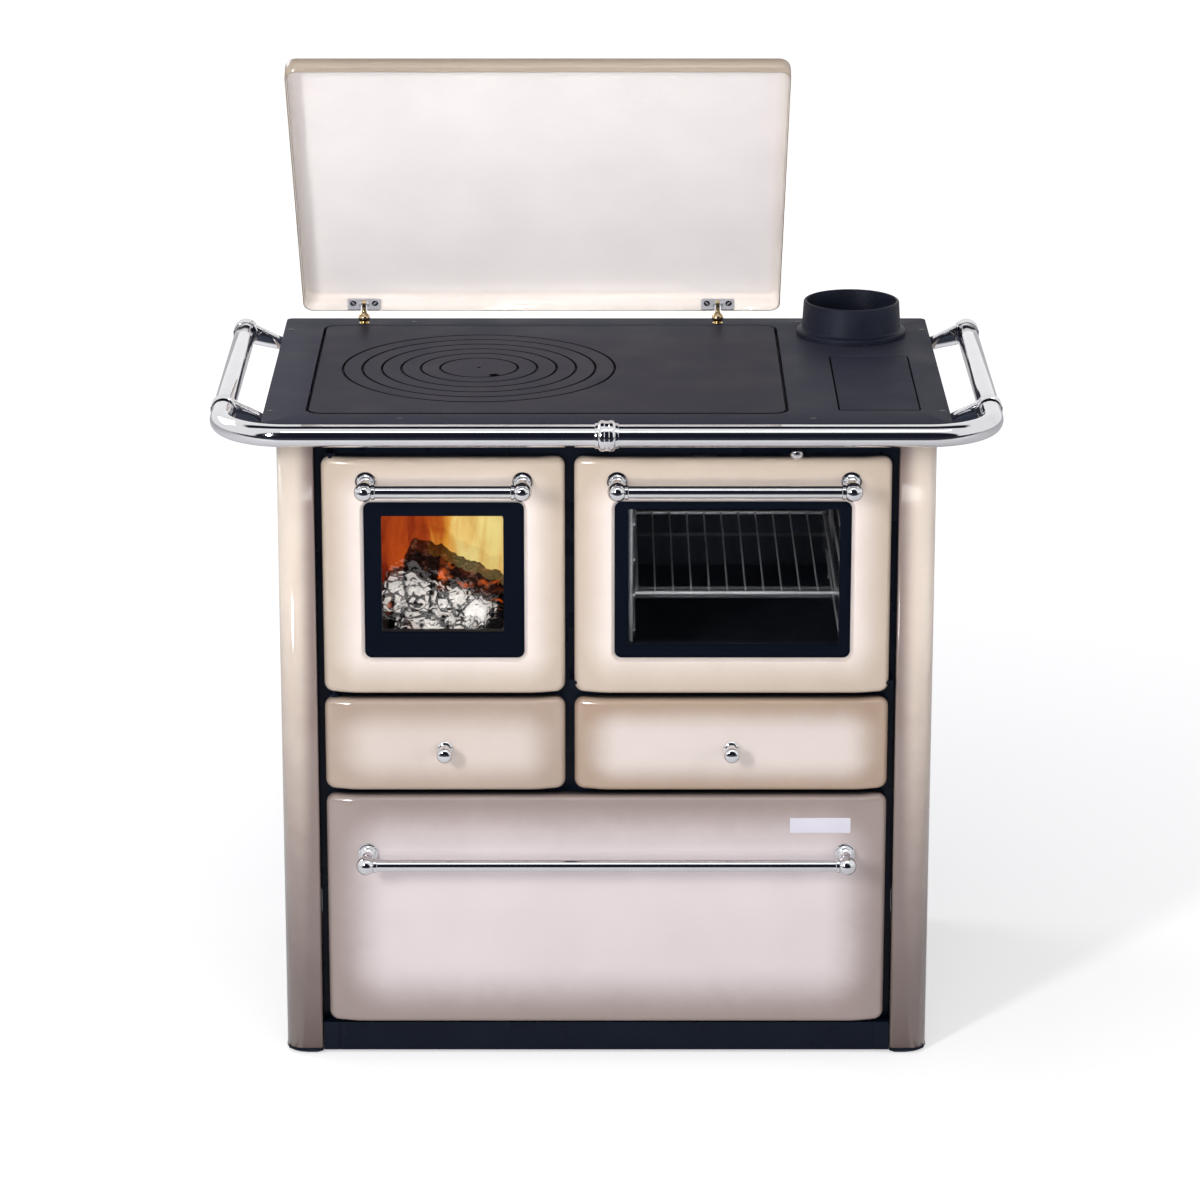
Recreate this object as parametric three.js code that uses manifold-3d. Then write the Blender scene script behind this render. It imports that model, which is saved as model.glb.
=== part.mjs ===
// Wood cookstove with a glazed firebox door, a glazed oven door, three drawers and a folding lid.
//
// Millimetres, +Z up. Inside the model x is measured from the middle of the body, y backwards from
// the worktop's front edge and z up from the floor. The front faces -Y. At the end everything is
// moved so that the origin lies on the floor under the middle of the whole stove.

import * as THREE from "three";
import { mergeVertices } from "three/addons/utils/BufferGeometryUtils.js";
import Module from "manifold-3d";

const wasm = await Module();
wasm.setup();

// ---------------------------------------------------------------- driving dimensions

// Clearances
const seat = 0.3; // between pieces that rest on each other
const run = 1; // beside a piece that slides

// Worktop
const worktopHeight = 850;
const worktopWidth = 855;
const worktopDepth = 550;
const worktopThickness = 14;
const worktopCorner = 8;
const worktopEdge = 1.5; // bevel round its upper edge
const skirtHeight = 28;
const skirtThickness = 4;
const plateThickness = 8.7; // the loose plates that lie in the worktop
const ledgeWidth = 8; // what the loose plates rest on

// Flue and inspection cover, from the worktop's right and back edges
const flueFromRight = 103.5;
const flueFromBack = 87;
const flueBore = 59;
const flueWall = 3.5;
const flueTaper = 2.5;
const flueFlange = 72;
const flueFlangeThickness = 8;
const flueFlangeEdge = 3;
const flueHeight = 46;
const flueSpigot = 10;
const coverFromRight = 137.5;
const coverWidth = 101;
const coverFront = 64;
const coverFromBack = 210;
const coverCorner = 3;
const coverGap = 1;

// Hob plate and its lift-out rings
const hobFromLeft = 55.5;
const hobFromFlue = 100;
const hobFront = 50;
const hobFromBack = 42;
const hobCorner = 18;
const hobGap = 3;
const ringFromLeft = 208; // ring middle from the hob plate's left and front edges
const ringFromFront = 230;
const ringRadii = [175, 150, 125, 100, 75, 50];
const ringSides = 28;
const ringGap = 0.6; // half of the line that shows between two rings
const ringLip = 5;
const ringLipThickness = 4;
const notchWidth = 16;
const notchFromMiddle = 18;

// Body
const bodyInset = 15.5; // worktop's side edges to the body
const columnSetback = 34; // worktop front edge to the columns' front
const backSetback = 20; // worktop back edge to the back panel
const columnWidth = 47;
const columnCorner = 22;
const columnFold = 4;
const columnReturn = 26; // how far the columns' inner edges are folded back
const backFold = 8;
const sheet = 2;
const softCorner = 6;
const footHeight = 8;
const footLength = 80;
const footChamfer = 5;

// Fronts, from the left and from below
const sideGap = 9;
const middleGap = 11.5;
const rowGap = 8;
const plinthTop = 43;
const plinthBottom = 5;
const plinthGap = 3;
const plinthJointInset = 13;
const fireDoorWidth = 304;
const woodFrontHeight = 307;
const smallFrontHeight = 121;
const doorFromTop = 39; // doors' upper edges below the worktop's underside
const frontProud = 8; // flat middle of a front ahead of the columns
const frontDepth = 25;
const facetWidth = 36; // the slanted strips at a front's sides
const facetDrop = 9;
const facetBend = 60;
const frontEdge = 10;
const frontCorner = 12;
const pivotInset = 12; // door pivots, from the edge and from the face
const pinRadius = 2.5;
const pinSides = 12;
const pinClearance = 0.5;
const pinReach = 9; // of a pin into its door
const lugThickness = 3;
const lugHalf = 5;
const lugGap = 2.5;
const framePlane = 31; // behind the fronts' flat faces
const frameThickness = 3;

// Windows: margins [left, right, bottom, top] inside their doors, and of the clear glass inside them
const fireWindowMargins = [52.5, 51, 47, 57];
const fireViewMargins = [21.5, 26, 33, 18];
const ovenWindowMargins = [50.5, 50, 47, 56];
const ovenViewMargins = [16, 14, 16, 10];
const windowCorner = 9;
const windowBevel = 4.5;
const viewCorner = 4;
const collarDepth = 5.5;
const paneThickness = 4;
const paneLap = 8;
const linerStart = 19; // inner door plate behind the face
const linerThickness = 3;
const tunnelWall = 7;
const sealInset = 24;
const sealWidth = 6;
const sealCorner = 8;

// Handles and knobs
const turnedSides = 10;
const barRadius = 7.75;
const ballRadius = 12.3;
const barStandoff = 48;
const rosetteRadius = 13;
const rosetteHeight = 8;
const neckRadius = 5.5;
const neckHeight = 15;
const fireBarInsets = [55.5, 52]; // bar ends from the door's edges
const ovenBarInsets = [53, 51];
const woodBarInsets = [52, 52];
const doorBarDrop = 29; // below the door's upper edge
const woodBarDrop = 75;
const knobStandoff = 34;
const knobRadius = 10.4;
const knobFoot = 10;
const knobNeck = 4.6;
const smallKnobRise = 57; // above the drawer's lower edge

// Rail round the worktop
const railRadius = 14;
const railSides = 12; // a multiple of four, so that tubes and collar reach their full radius
const railDrop = 2; // its axis below the worktop surface
const railFront = 52; // its axis ahead of the worktop's front edge
const railFromSide = 50.5; // its axis outside the worktop's side edges
const railBend = 85;
const railEnd = 6; // domed rear end behind the bracket
const frontBracketY = 81;
const rearBracketFromBack = 70;
const bracketWidth = 18;
const eyeRadius = 16.5;
const armRoot = 11; // below the worktop surface
const armFoot = 2; // above the skirt's lower edge
const couplingRadius = 19.2;
const couplingHalf = 14.5;
const couplingHubHalf = 8.5;
const couplingArmHalf = 6;

// Lid and its hinges
const lidFromLeft = 24.5; // from the worktop's left edge
const lidWidth = 634;
const lidDepth = 496;
const lidRim = 26;
const lidCorner = 15;
const lidEdge = 6;
const lidSheet = 1.5;
const lidOpen = 50.5; // degrees from closed
const lidHingeInsets = [80.3, 82.3]; // posts from the lid's side edges
const lidPivotFromBack = 32;
const lidPivotRise = 27;
const lidPivotAboveEdge = 9;
const lidPivotAheadOfRim = 2;
const lidPinRadius = 1.9;
const postSides = 8;
const postRadius = 3;
const postFoot = 7;
const postBead = 7.8;
const postBeadRise = 8.6;
const lidEyeRadius = 5;
const lidTongue = 5;
const lidSlot = 8;
const hingePlateWidth = 44;
const hingePlateHeight = 18;
const hingePlateThickness = 1.5;
const hingePlateCorner = 3;
const hingeBarrel = 4.5;
const hingeEar = 2.5;

// Firebox, from its door's edges
const fireboxFromLeft = 34;
const fireboxFromRight = 40;
const fireMouthInset = 3;
const fireMouthDrop = 35;
const fireboxFromBack = 87.7;
const brickThickness = 30;
const brickLedge = 14;
const brickDrop = 7; // bricks end below the doors' upper edges
const grateRise = 34; // above the doors' lower edges
const grateThickness = 12;
const grateInset = 14;
const grateSlots = 9;
const grateRib = 16;
const slotWidth = 10;

// Oven, from its door's edges
const ovenFromLeft = 67.5;
const ovenFromRight = 53;
const ovenFloorRise = 30;
const ovenTopDrop = 42;
const ovenFromBack = 27.4;
const ovenSheet = 2.5;
const ovenFlange = 12;
const ovenRibInset = 33;
const ovenRibWidth = 4;
const ovenRibEnds = 40;
const runnerRise = 32; // first shelf runner above the oven's floor
const runnerTopDrop = 63.5; // last one below its top
const runnerEnds = 40;
const runnerCount = 4;
const shelfRunner = 1; // the runner, from below, that carries the shelf
const uprightTopDrop = 23.5;
const uprightInset = 25;
const uprightRadius = 3;
const runnerRadius = 2;
const shelfFrameRadius = 2.5;
const shelfWireRadius = 1.75;
const wireSides = 6;
const shelfWires = 10;
const shelfStart = 34; // behind the front frame
const shelfFromBack = 36;

// Drawers
const deckRise = 4; // decks above the fronts that they follow
const smallBoxHeight = 78;
const woodBoxHeight = 248;
const boxFromBack = 57.7;
const boxInset = 18; // drawer boxes are this much narrower than their fronts at each side
const boxSheet = 1.5;
const boxFlangeInset = 5;
const runnerHeight = 5.4;
const runnerWidth = 10;
const openingMargin = 8; // frame opening round a drawer box

// Damper
const damperFromFlue = 88;
const damperDrop = 44; // rod below the worktop surface
const damperRodRadius = 4;
const damperKnobRadius = 8.5;
const damperKnobSetback = 24;
const damperPlateHalf = 73;
const damperPlateAhead = 65;
const damperPlateThickness = 3;
const damperPlateDrop = 4;
const damperRailThickness = 4;
const damperRailHook = 9;
const damperTabHalf = 8;
const damperPass = 14; // width of the tab where it passes beside the rail

// ---------------------------------------------------------------- derived places

const surface = worktopHeight;
const underside = worktopHeight - worktopThickness;
const rebate = plateThickness + seat;
const halfWorktop = worktopWidth / 2;
const flueX = halfWorktop - flueFromRight;
const flueY = worktopDepth - flueFromBack;
const hobLeft = -halfWorktop + hobFromLeft;
const hobSpan = [hobLeft, flueX - hobFromFlue, hobFront, worktopDepth - hobFromBack];
const coverLeft = halfWorktop - coverFromRight;
const coverSpan = [coverLeft, coverLeft + coverWidth, coverFront, worktopDepth - coverFromBack];
const ringCentreX = hobLeft + ringFromLeft;
const ringCentreY = hobFront + ringFromFront;
const halfBody = halfWorktop - bodyInset;
const columnInner = halfBody - columnWidth;
const backPanelY = worktopDepth - backSetback - sheet;
const bodyBack = backPanelY - seat;
const frontFace = columnSetback - frontProud;
const frontBack = frontFace + frontDepth;
const frameY = frontFace + framePlane;
const frameBack = frameY + frameThickness;
const carcassFront = frameBack + seat;
const pivotY = frontFace + pivotInset;
const bodyTop = underside - seat;
const woodBottom = plinthTop + plinthGap;
const woodTop = woodBottom + woodFrontHeight;
const smallBottom = woodTop + rowGap;
const smallTop = smallBottom + smallFrontHeight;
const doorBottom = smallTop + rowGap;
const doorTop = underside - doorFromTop;
const frontsLeft = -columnInner + sideGap;
const frontsRight = columnInner - sideGap;
const fireDoorRight = frontsLeft + fireDoorWidth;
const ovenDoorLeft = fireDoorRight + middleGap;
const fireDoor = [frontsLeft, fireDoorRight, doorBottom, doorTop];
const ovenDoor = [ovenDoorLeft, frontsRight, doorBottom, doorTop];
const ashFront = [frontsLeft, fireDoorRight, smallBottom, smallTop];
const utilityFront = [ovenDoorLeft, frontsRight, smallBottom, smallTop];
const woodFront = [frontsLeft, frontsRight, woodBottom, woodTop];
const deckHeight = woodTop + deckRise;
const ovenDeckHeight = smallTop + deckRise;
const smallFloor = deckHeight + runnerHeight + seat;
const woodFloor = plinthTop + runnerHeight + seat;
const boxBack = bodyBack - boxFromBack;
const railHeight = surface - railDrop;
const railSide = halfWorktop + railFromSide;
const rearBracketY = worktopDepth - rearBracketFromBack;
const lidLeft = -halfWorktop + lidFromLeft;
const lidPostX = [lidLeft + lidHingeInsets[0], lidLeft + lidWidth - lidHingeInsets[1]];
const lidPivotY = worktopDepth - lidPivotFromBack;
const lidPivotZ = surface + lidPivotRise;
const damperX = flueX - damperFromFlue;
const damperHeight = surface - damperDrop;
const fireboxLeft = frontsLeft + fireboxFromLeft;
const fireboxRight = fireDoorRight - fireboxFromRight;
const fireboxBack = bodyBack - fireboxFromBack;
const grateHeight = doorBottom + grateRise;
const brickTop = doorTop - brickDrop;
const ovenLeft = ovenDoorLeft + ovenFromLeft;
const ovenRight = frontsRight - ovenFromRight;
const ovenFloor = doorBottom + ovenFloorRise;
const ovenTop = doorTop - ovenTopDrop;
const ovenBack = bodyBack - ovenFromBack;

// A rectangle [left, right, low, high] less its margins.
const within = ([l, r, b, t], [ml, mr, mb, mt]) => [l + ml, r - mr, b + mb, t - mt];

const fireWindow = within(fireDoor, fireWindowMargins);
const fireView = within(fireWindow, fireViewMargins);
const ovenWindow = within(ovenDoor, ovenWindowMargins);
const ovenView = within(ovenWindow, ovenViewMargins);

// ---------------------------------------------------------------- finishes

const finish = (color, roughness, metalness) =>
  new THREE.MeshStandardMaterial({ color, roughness, metalness, flatShading: true });

const enamel = finish(0xded0c4, 0.25, 0);
const lidEnamel = finish(0xf0ebe6, 0.25, 0);
const blackEnamel = finish(0x10161f, 0.35, 0);
const castIron = finish(0x34323c, 0.7, 0.2);
const hobIron = finish(0x46444a, 0.6, 0.2);
const chrome = finish(0xd8d8dc, 0.08, 1);
const brass = finish(0xb08d4f, 0.2, 1);
const zinc = finish(0xa9adb2, 0.4, 1);
const glass = finish(0x0c1016, 0.05, 0);
const firebrick = finish(0xb9a58a, 0.95, 0);
const blackSheet = finish(0x15171c, 0.6, 0.3);
const wire = finish(0xc9c9cc, 0.15, 1);

// ---------------------------------------------------------------- ways to make a solid

const X = new THREE.Vector3(1, 0, 0);
const Y = new THREE.Vector3(0, 1, 0);
const Z = new THREE.Vector3(0, 0, 1);
const FRONT = new THREE.Vector3(0, -1, 0);

// A closed three.js geometry as a solid that can be joined and cut.
function solid(geometry) {
  const bare = geometry.clone();
  bare.deleteAttribute("normal");
  bare.deleteAttribute("uv");
  const merged = mergeVertices(bare, 1e-4);
  return new wasm.Manifold(
    new wasm.Mesh({
      numProp: 3,
      vertProperties: merged.attributes.position.array,
      triVerts: new Uint32Array(merged.index.array),
    }),
  );
}

// A box between its lowest and highest corners.
function block([x0, y0, z0], [x1, y1, z1]) {
  const box = new THREE.BoxGeometry(x1 - x0, y1 - y0, z1 - z0);
  return solid(box.translate((x0 + x1) / 2, (y0 + y1) / 2, (z0 + z1) / 2));
}

// The points of an outline whose corners [x, y, radius] are rounded by arcs.
function rounded(corners, steps = 3) {
  const places = corners.map(([x, y]) => new THREE.Vector2(x, y));
  const points = [];
  corners.forEach(([, , radius = 0], i) => {
    const corner = places[i];
    if (radius <= 0) {
      points.push(corner);
      return;
    }
    const before = places.at(i - 1).clone().sub(corner).normalize();
    const after = places[(i + 1) % places.length].clone().sub(corner).normalize();
    const half = Math.acos(before.dot(after)) / 2;
    const reach = radius / Math.tan(half);
    const centre = before.clone().add(after).setLength(radius / Math.sin(half)).add(corner);
    const first = corner.clone().addScaledVector(before, reach).sub(centre);
    const last = corner.clone().addScaledVector(after, reach).sub(centre);
    const turn = Math.atan2(first.cross(last), first.dot(last));
    for (let k = 0; k <= steps; k += 1) {
      points.push(first.clone().rotateAround(new THREE.Vector2(), (turn * k) / steps).add(centre));
    }
  });
  return points;
}

// The points of a rectangle [left, right, low, high] with round corners, grown by a margin.
function rectangle([left, right, low, high], radius = 0, margin = 0, steps = 3) {
  const r = radius > 0 ? Math.max(radius + margin, 0) : 0;
  return rounded(
    [
      [left - margin, low - margin, r],
      [right + margin, low - margin, r],
      [right + margin, high + margin, r],
      [left - margin, high + margin, r],
    ],
    steps,
  );
}

// An outline drawn out from a level along one axis, with holes cut right through.
function drawn(outline, holes, length, basis) {
  const extrusion = (points, start, end) => {
    const shape = new THREE.Shape(points);
    const geometry = new THREE.ExtrudeGeometry(shape, { depth: end - start, bevelEnabled: false });
    return solid(geometry.translate(0, 0, start).applyMatrix4(basis));
  };
  return holes.reduce(
    (body, hole) => body.subtract(extrusion(hole, -1, length + 1)),
    extrusion(outline, 0, length),
  );
}

// Outline in x and y, drawn along z.
function prismZ(outline, z0, z1, holes = []) {
  return drawn(outline, holes, z1 - z0, new THREE.Matrix4().makeTranslation(0, 0, z0));
}

// Outline in x and z, drawn along y.
function prismY(outline, y0, y1, holes = []) {
  const basis = new THREE.Matrix4().makeBasis(X, Z, FRONT).setPosition(0, y1, 0);
  return drawn(outline, holes, y1 - y0, basis);
}

// Outline in y and z, drawn along x.
function prismX(outline, x0, x1, holes = []) {
  const basis = new THREE.Matrix4().makeBasis(Y, Z, X).setPosition(x0, 0, 0);
  return drawn(outline, holes, x1 - x0, basis);
}

// Points [a, b] as an outline.
function outlineOf(points) {
  return points.map(([a, b]) => new THREE.Vector2(a, b));
}

// A profile of points [radius, along] turned about an axis that starts at a place.
function turned(profile, sides, axis, place) {
  const lathe = new THREE.LatheGeometry(outlineOf(profile), sides);
  const turn = new THREE.Quaternion().setFromUnitVectors(Y, axis);
  return solid(lathe.applyQuaternion(turn).translate(place.x, place.y, place.z));
}

// A round bar from a place along an axis.
function rod(radius, length, sides, axis, place) {
  const profile = [
    [0, 0],
    [radius, 0],
    [radius, length],
    [0, length],
  ];
  return turned(profile, sides, axis, place);
}

// The radius of a many-sided hole that a round bar of the given radius passes with a clearance.
function holeRadius(radius, clearance, sides) {
  return (radius + clearance) / Math.cos(Math.PI / sides);
}

// Rings of equally many points, skinned one after the other and closed at both ends.
function lofted(rings) {
  const count = rings[0].length;
  const positions = rings.flat().flatMap((p) => [p.x, p.y, p.z]);
  const faces = [];
  for (let ring = 0; ring + 1 < rings.length; ring += 1) {
    for (let i = 0; i < count; i += 1) {
      const a = ring * count + i;
      const b = ring * count + ((i + 1) % count);
      faces.push(a, b, b + count, a, b + count, a + count);
    }
  }
  const last = (rings.length - 1) * count;
  for (let i = 1; i + 1 < count; i += 1) {
    faces.push(0, i + 1, i);
    faces.push(last, last + i, last + i + 1);
  }
  const geometry = new THREE.BufferGeometry();
  geometry.setAttribute("position", new THREE.Float32BufferAttribute(positions, 3));
  geometry.setIndex(faces);
  return solid(geometry);
}

// A path of straight runs and round bends with one station at each end of a run and several on a
// bend, so that a swept tube has its sides where it bends.
class BentPath extends THREE.Curve {
  constructor(corners, bend, steps) {
    super();
    this.points = rounded(
      corners.map(([x, y], i) => [x, y, i > 0 && i + 1 < corners.length ? bend : 0]),
      steps,
    );
  }

  getPointAt(t, target = new THREE.Vector3()) {
    const { x, y } = this.points[Math.round(t * (this.points.length - 1))];
    return target.set(x, y, 0);
  }

  getTangentAt(t, target = new THREE.Vector3()) {
    const at = Math.round(t * (this.points.length - 1));
    const before = this.points[Math.max(at - 1, 0)];
    const after = this.points[Math.min(at + 1, this.points.length - 1)];
    return target.set(after.x - before.x, after.y - before.y, 0).normalize();
  }
}

const stove = new THREE.Group();

// A named mesh of a solid, put into a group.
function piece(name, body, material, group = stove) {
  const { vertProperties, triVerts } = body.getMesh();
  const geometry = new THREE.BufferGeometry();
  geometry.setAttribute("position", new THREE.BufferAttribute(vertProperties, 3));
  geometry.setIndex(new THREE.BufferAttribute(triVerts, 1));
  geometry.computeVertexNormals();
  const mesh = new THREE.Mesh(geometry, material);
  mesh.name = name;
  group.add(mesh);
}

const vector = (x, y, z) => new THREE.Vector3(x, y, z);
const mirrored = (body) => body.mirror([1, 0, 0]);

// ---------------------------------------------------------------- base, feet and side panels

// A column's outline seen from above, right-hand side, from its front to the end of a foot.
function footOutline(margin, front, back, corner) {
  const left = columnInner - margin;
  const right = halfBody + margin;
  return rounded([
    [left, front - margin, columnFold],
    [right, front - margin, corner],
    [right, back + margin, 1],
    [left, back + margin, 1],
  ]);
}

function foot(front, back, corner) {
  const ring = (margin, z) => footOutline(margin, front, back, corner).map((p) => vector(p.x, p.y, z));
  return lofted([
    ring(-footChamfer, 0),
    ring(0.5, footHeight / 2),
    ring(0.5, footHeight - seat),
  ]);
}

const frontFoot = foot(columnSetback, columnSetback + footLength, columnCorner);
const rearFoot = foot(bodyBack - footLength, bodyBack, columnFold);
piece("foot_front_right", frontFoot, blackEnamel);
piece("foot_front_left", mirrored(frontFoot), blackEnamel);
piece("foot_rear_right", rearFoot, blackEnamel);
piece("foot_rear_left", mirrored(rearFoot), blackEnamel);

// One folded sheet: side wall, rounded front corner, column face and the edge folded back.
function sidePanel() {
  const returnEnd = columnSetback + columnReturn;
  const outline = rounded([
    [halfBody, bodyBack],
    [halfBody, columnSetback, columnCorner],
    [columnInner, columnSetback, columnFold],
    [columnInner, returnEnd],
    [columnInner + sheet, returnEnd],
    [columnInner + sheet, columnSetback + sheet, columnFold - sheet],
    [halfBody - sheet, columnSetback + sheet, columnCorner - sheet],
    [halfBody - sheet, bodyBack],
  ]);
  return prismZ(outline, footHeight, bodyTop);
}

piece("side_panel_right", sidePanel(), enamel);
piece("side_panel_left", mirrored(sidePanel()), enamel);

// Folded pan with the plinth as its front wall and the wood drawer's runners on its floor.
function baseFrame() {
  const outer = columnInner - run;
  const inner = outer - sheet;
  const low = footHeight + seat;
  const floor = plinthTop - sheet;
  const channel = [
    [-inner, low],
    [-inner, floor],
    [inner, floor],
    [inner, low],
    [outer, low],
    [outer, plinthTop],
    [-outer, plinthTop],
    [-outer, low],
  ];
  const plinthY = columnSetback + sheet;
  let frame = prismY(outlineOf(channel), plinthY, bodyBack);
  frame = frame.add(block([-outer, plinthY, plinthBottom], [outer, plinthY + sheet, plinthTop]));
  const flangeFront = columnSetback + columnReturn + seat;
  const flangeEnd = halfBody - sheet - seat;
  const runnerX = frontsRight - boxInset - runnerWidth * 2;
  [-1, 1].forEach((side) => {
    const span = (a, b) => [Math.min(side * a, side * b), Math.max(side * a, side * b)];
    const [f0, f1] = span(inner, flangeEnd);
    frame = frame.add(block([f0, flangeFront, low], [f1, bodyBack, low + sheet]));
    const [r0, r1] = span(runnerX, runnerX + runnerWidth);
    const rail = block([r0, carcassFront, plinthTop - 1], [r1, boxBack, plinthTop + runnerHeight]);
    frame = frame.add(rail);
    const joint = frontsRight - plinthJointInset;
    const [j0, j1] = span(joint, joint + 1);
    frame = frame.subtract(block([j0, plinthY - 1, 0], [j1, plinthY + 1, plinthTop + 1]));
  });
  return frame;
}

piece("base_frame", baseFrame(), blackEnamel);

// ---------------------------------------------------------------- carcass

// A drawer box [left, right, floor, top] behind its front.
function boxSpan([left, right], floor, height) {
  return [left + boxInset, right - boxInset, floor, floor + height];
}

const ashBox = boxSpan(ashFront, smallFloor, smallBoxHeight);
const utilityBox = boxSpan(utilityFront, smallFloor, smallBoxHeight);
const woodBox = boxSpan(woodFront, woodFloor, woodBoxHeight);
const fireMouth = [
  fireboxLeft + fireMouthInset,
  fireboxRight - fireMouthInset,
  grateHeight,
  doorTop - fireMouthDrop,
];
const ovenMouth = [ovenLeft, ovenRight, ovenFloor, ovenTop];

// The opening in the front frame round a drawer box.
function boxOpening([left, right, low, high]) {
  const spread = openingMargin / 2;
  return rectangle([left - spread, right + spread, low - run, high + openingMargin]);
}

const firePivotX = frontsLeft + pivotInset;
const ovenPivotZ = doorBottom + pivotInset;

// Black front frame with the doors' pivot lugs and pins.
function frontFrame() {
  const half = columnInner - seat;
  const holes = [
    rectangle(fireMouth, softCorner),
    rectangle(ovenMouth),
    boxOpening(ashBox),
    boxOpening(utilityBox),
    boxOpening(woodBox),
    rectangle([
      damperX - damperRodRadius - run,
      damperX + damperRodRadius + run,
      damperHeight - damperRodRadius - run,
      damperHeight + damperRodRadius + run,
    ]),
  ];
  const outline = rectangle([-half, half, plinthTop + seat, bodyTop]);
  let frame = prismY(outline, frameY, frameBack, holes);
  const lugFront = pivotY - pinRadius * 2;
  const lugBack = frameY + frameThickness / 2;
  [
    [doorBottom - (lugThickness + rowGap) / 2, 1],
    [doorTop + (rowGap - lugThickness) / 2, -1],
  ].forEach(([z, up]) => {
    const left = firePivotX - lugHalf;
    const right = firePivotX + lugHalf;
    const ear = block([left, lugFront, z], [right, lugBack, z + lugThickness]);
    const length = rowGap / 2 + pinReach;
    const start = vector(firePivotX, pivotY, z + lugThickness / 2);
    const pin = rod(pinRadius, length, pinSides, vector(0, 0, up), start);
    frame = frame.add(ear).add(pin);
  });
  [
    [ovenDoorLeft - lugThickness - lugGap, 1],
    [frontsRight + lugGap, -1],
  ].forEach(([x, inward]) => {
    const low = ovenPivotZ - lugHalf;
    const high = ovenPivotZ + lugHalf;
    const ear = block([x, lugFront, low], [x + lugThickness, lugBack, high]);
    const length = lugThickness / 2 + lugGap + pinReach;
    const start = vector(x + lugThickness / 2, pivotY, ovenPivotZ);
    const pin = rod(pinRadius, length, pinSides, vector(inward, 0, 0), start);
    frame = frame.add(ear).add(pin);
  });
  return frame;
}

piece("front_frame", frontFrame(), blackEnamel);

// Back sheet with a shallow frame folded round it.
function backPanel() {
  const half = halfBody - seat;
  const outline = [-half, half, plinthTop, bodyTop];
  const edge = rectangle(outline, softCorner, 0, 2);
  const panel = prismY(edge, backPanelY, backPanelY + sheet);
  const fold = prismY(edge, backPanelY, backPanelY + backFold, [
    rectangle(outline, softCorner, -sheet, 2),
  ]);
  return panel.add(fold);
}

piece("back_panel", backPanel(), blackSheet);

const deckHalf = halfBody - sheet - seat;

// Floor under the two small drawers, their runners and the wall between them.
function drawerDeck() {
  const low = deckHeight - sheet;
  let deck = block([-deckHalf, carcassFront, low], [deckHalf, bodyBack, deckHeight]);
  const wallX = (fireDoorRight + ovenDoorLeft) / 2;
  const wallTop = ovenDeckHeight - sheet - seat;
  const wall = block([wallX - sheet / 2, carcassFront, low], [wallX + sheet / 2, bodyBack, wallTop]);
  deck = deck.add(wall);
  [ashBox, utilityBox].forEach(([left, right]) => {
    [left + runnerWidth, right - runnerWidth * 2].forEach((x) => {
      const strip = block(
        [x, carcassFront, low],
        [x + runnerWidth, boxBack, deckHeight + runnerHeight],
      );
      deck = deck.add(strip);
    });
  });
  return deck;
}

piece("drawer_deck", drawerDeck(), blackSheet);

// Floor under firebox and oven, open where the ash falls.
function ovenDeck() {
  const outline = rectangle([-deckHalf, deckHalf, carcassFront, bodyBack]);
  const ledge = fireboxLeft + brickLedge;
  const inset = 2 * grateInset;
  const ashHole = [ledge, fireboxRight - brickLedge, carcassFront + inset, fireboxBack - inset];
  return prismZ(outline, ovenDeckHeight - sheet, ovenDeckHeight, [rectangle(ashHole, softCorner)]);
}

piece("oven_deck", ovenDeck(), blackSheet);

// ---------------------------------------------------------------- firebox

// A side wall of firebrick with a ledge for the grate, drawn along the firebox.
function sideBrick(inner, outward) {
  const low = ovenDeckHeight + seat;
  const outer = inner + outward * brickThickness;
  const ledge = inner - outward * brickLedge;
  const outline = outlineOf([
    [outer, low],
    [ledge, low],
    [ledge, grateHeight],
    [inner, grateHeight],
    [inner, brickTop],
    [outer, brickTop],
  ]);
  return prismY(outline, carcassFront, fireboxBack - seat);
}

piece("firebrick_left", sideBrick(fireboxLeft, -1), firebrick);
piece("firebrick_right", sideBrick(fireboxRight, 1), firebrick);
piece(
  "firebrick_back",
  block(
    [fireboxLeft - brickThickness, fireboxBack, ovenDeckHeight + seat],
    [fireboxRight + brickThickness, fireboxBack + brickThickness, brickTop],
  ),
  firebrick,
);

// Cast grate with two rows of long slots.
function fireGrate() {
  const front = carcassFront + grateInset;
  const back = fireboxBack - 2 * seat;
  const left = fireboxLeft + seat;
  const right = fireboxRight - seat;
  const pitch = (right - left - 2 * slotWidth) / grateSlots;
  const length = (back - front - 3 * grateRib) / 2;
  const slots = [];
  for (let i = 0; i < grateSlots; i += 1) {
    const x = left + slotWidth + pitch * (i + 0.5) - slotWidth / 2;
    [front + grateRib, front + 2 * grateRib + length].forEach((y) => {
      slots.push(rectangle([x, x + slotWidth, y, y + length]));
    });
  }
  const low = grateHeight + seat;
  const outline = rectangle([left, right, front, back], softCorner);
  return prismZ(outline, low, low + grateThickness, slots);
}

piece("fire_grate", fireGrate(), castIron);

// ---------------------------------------------------------------- oven

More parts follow.
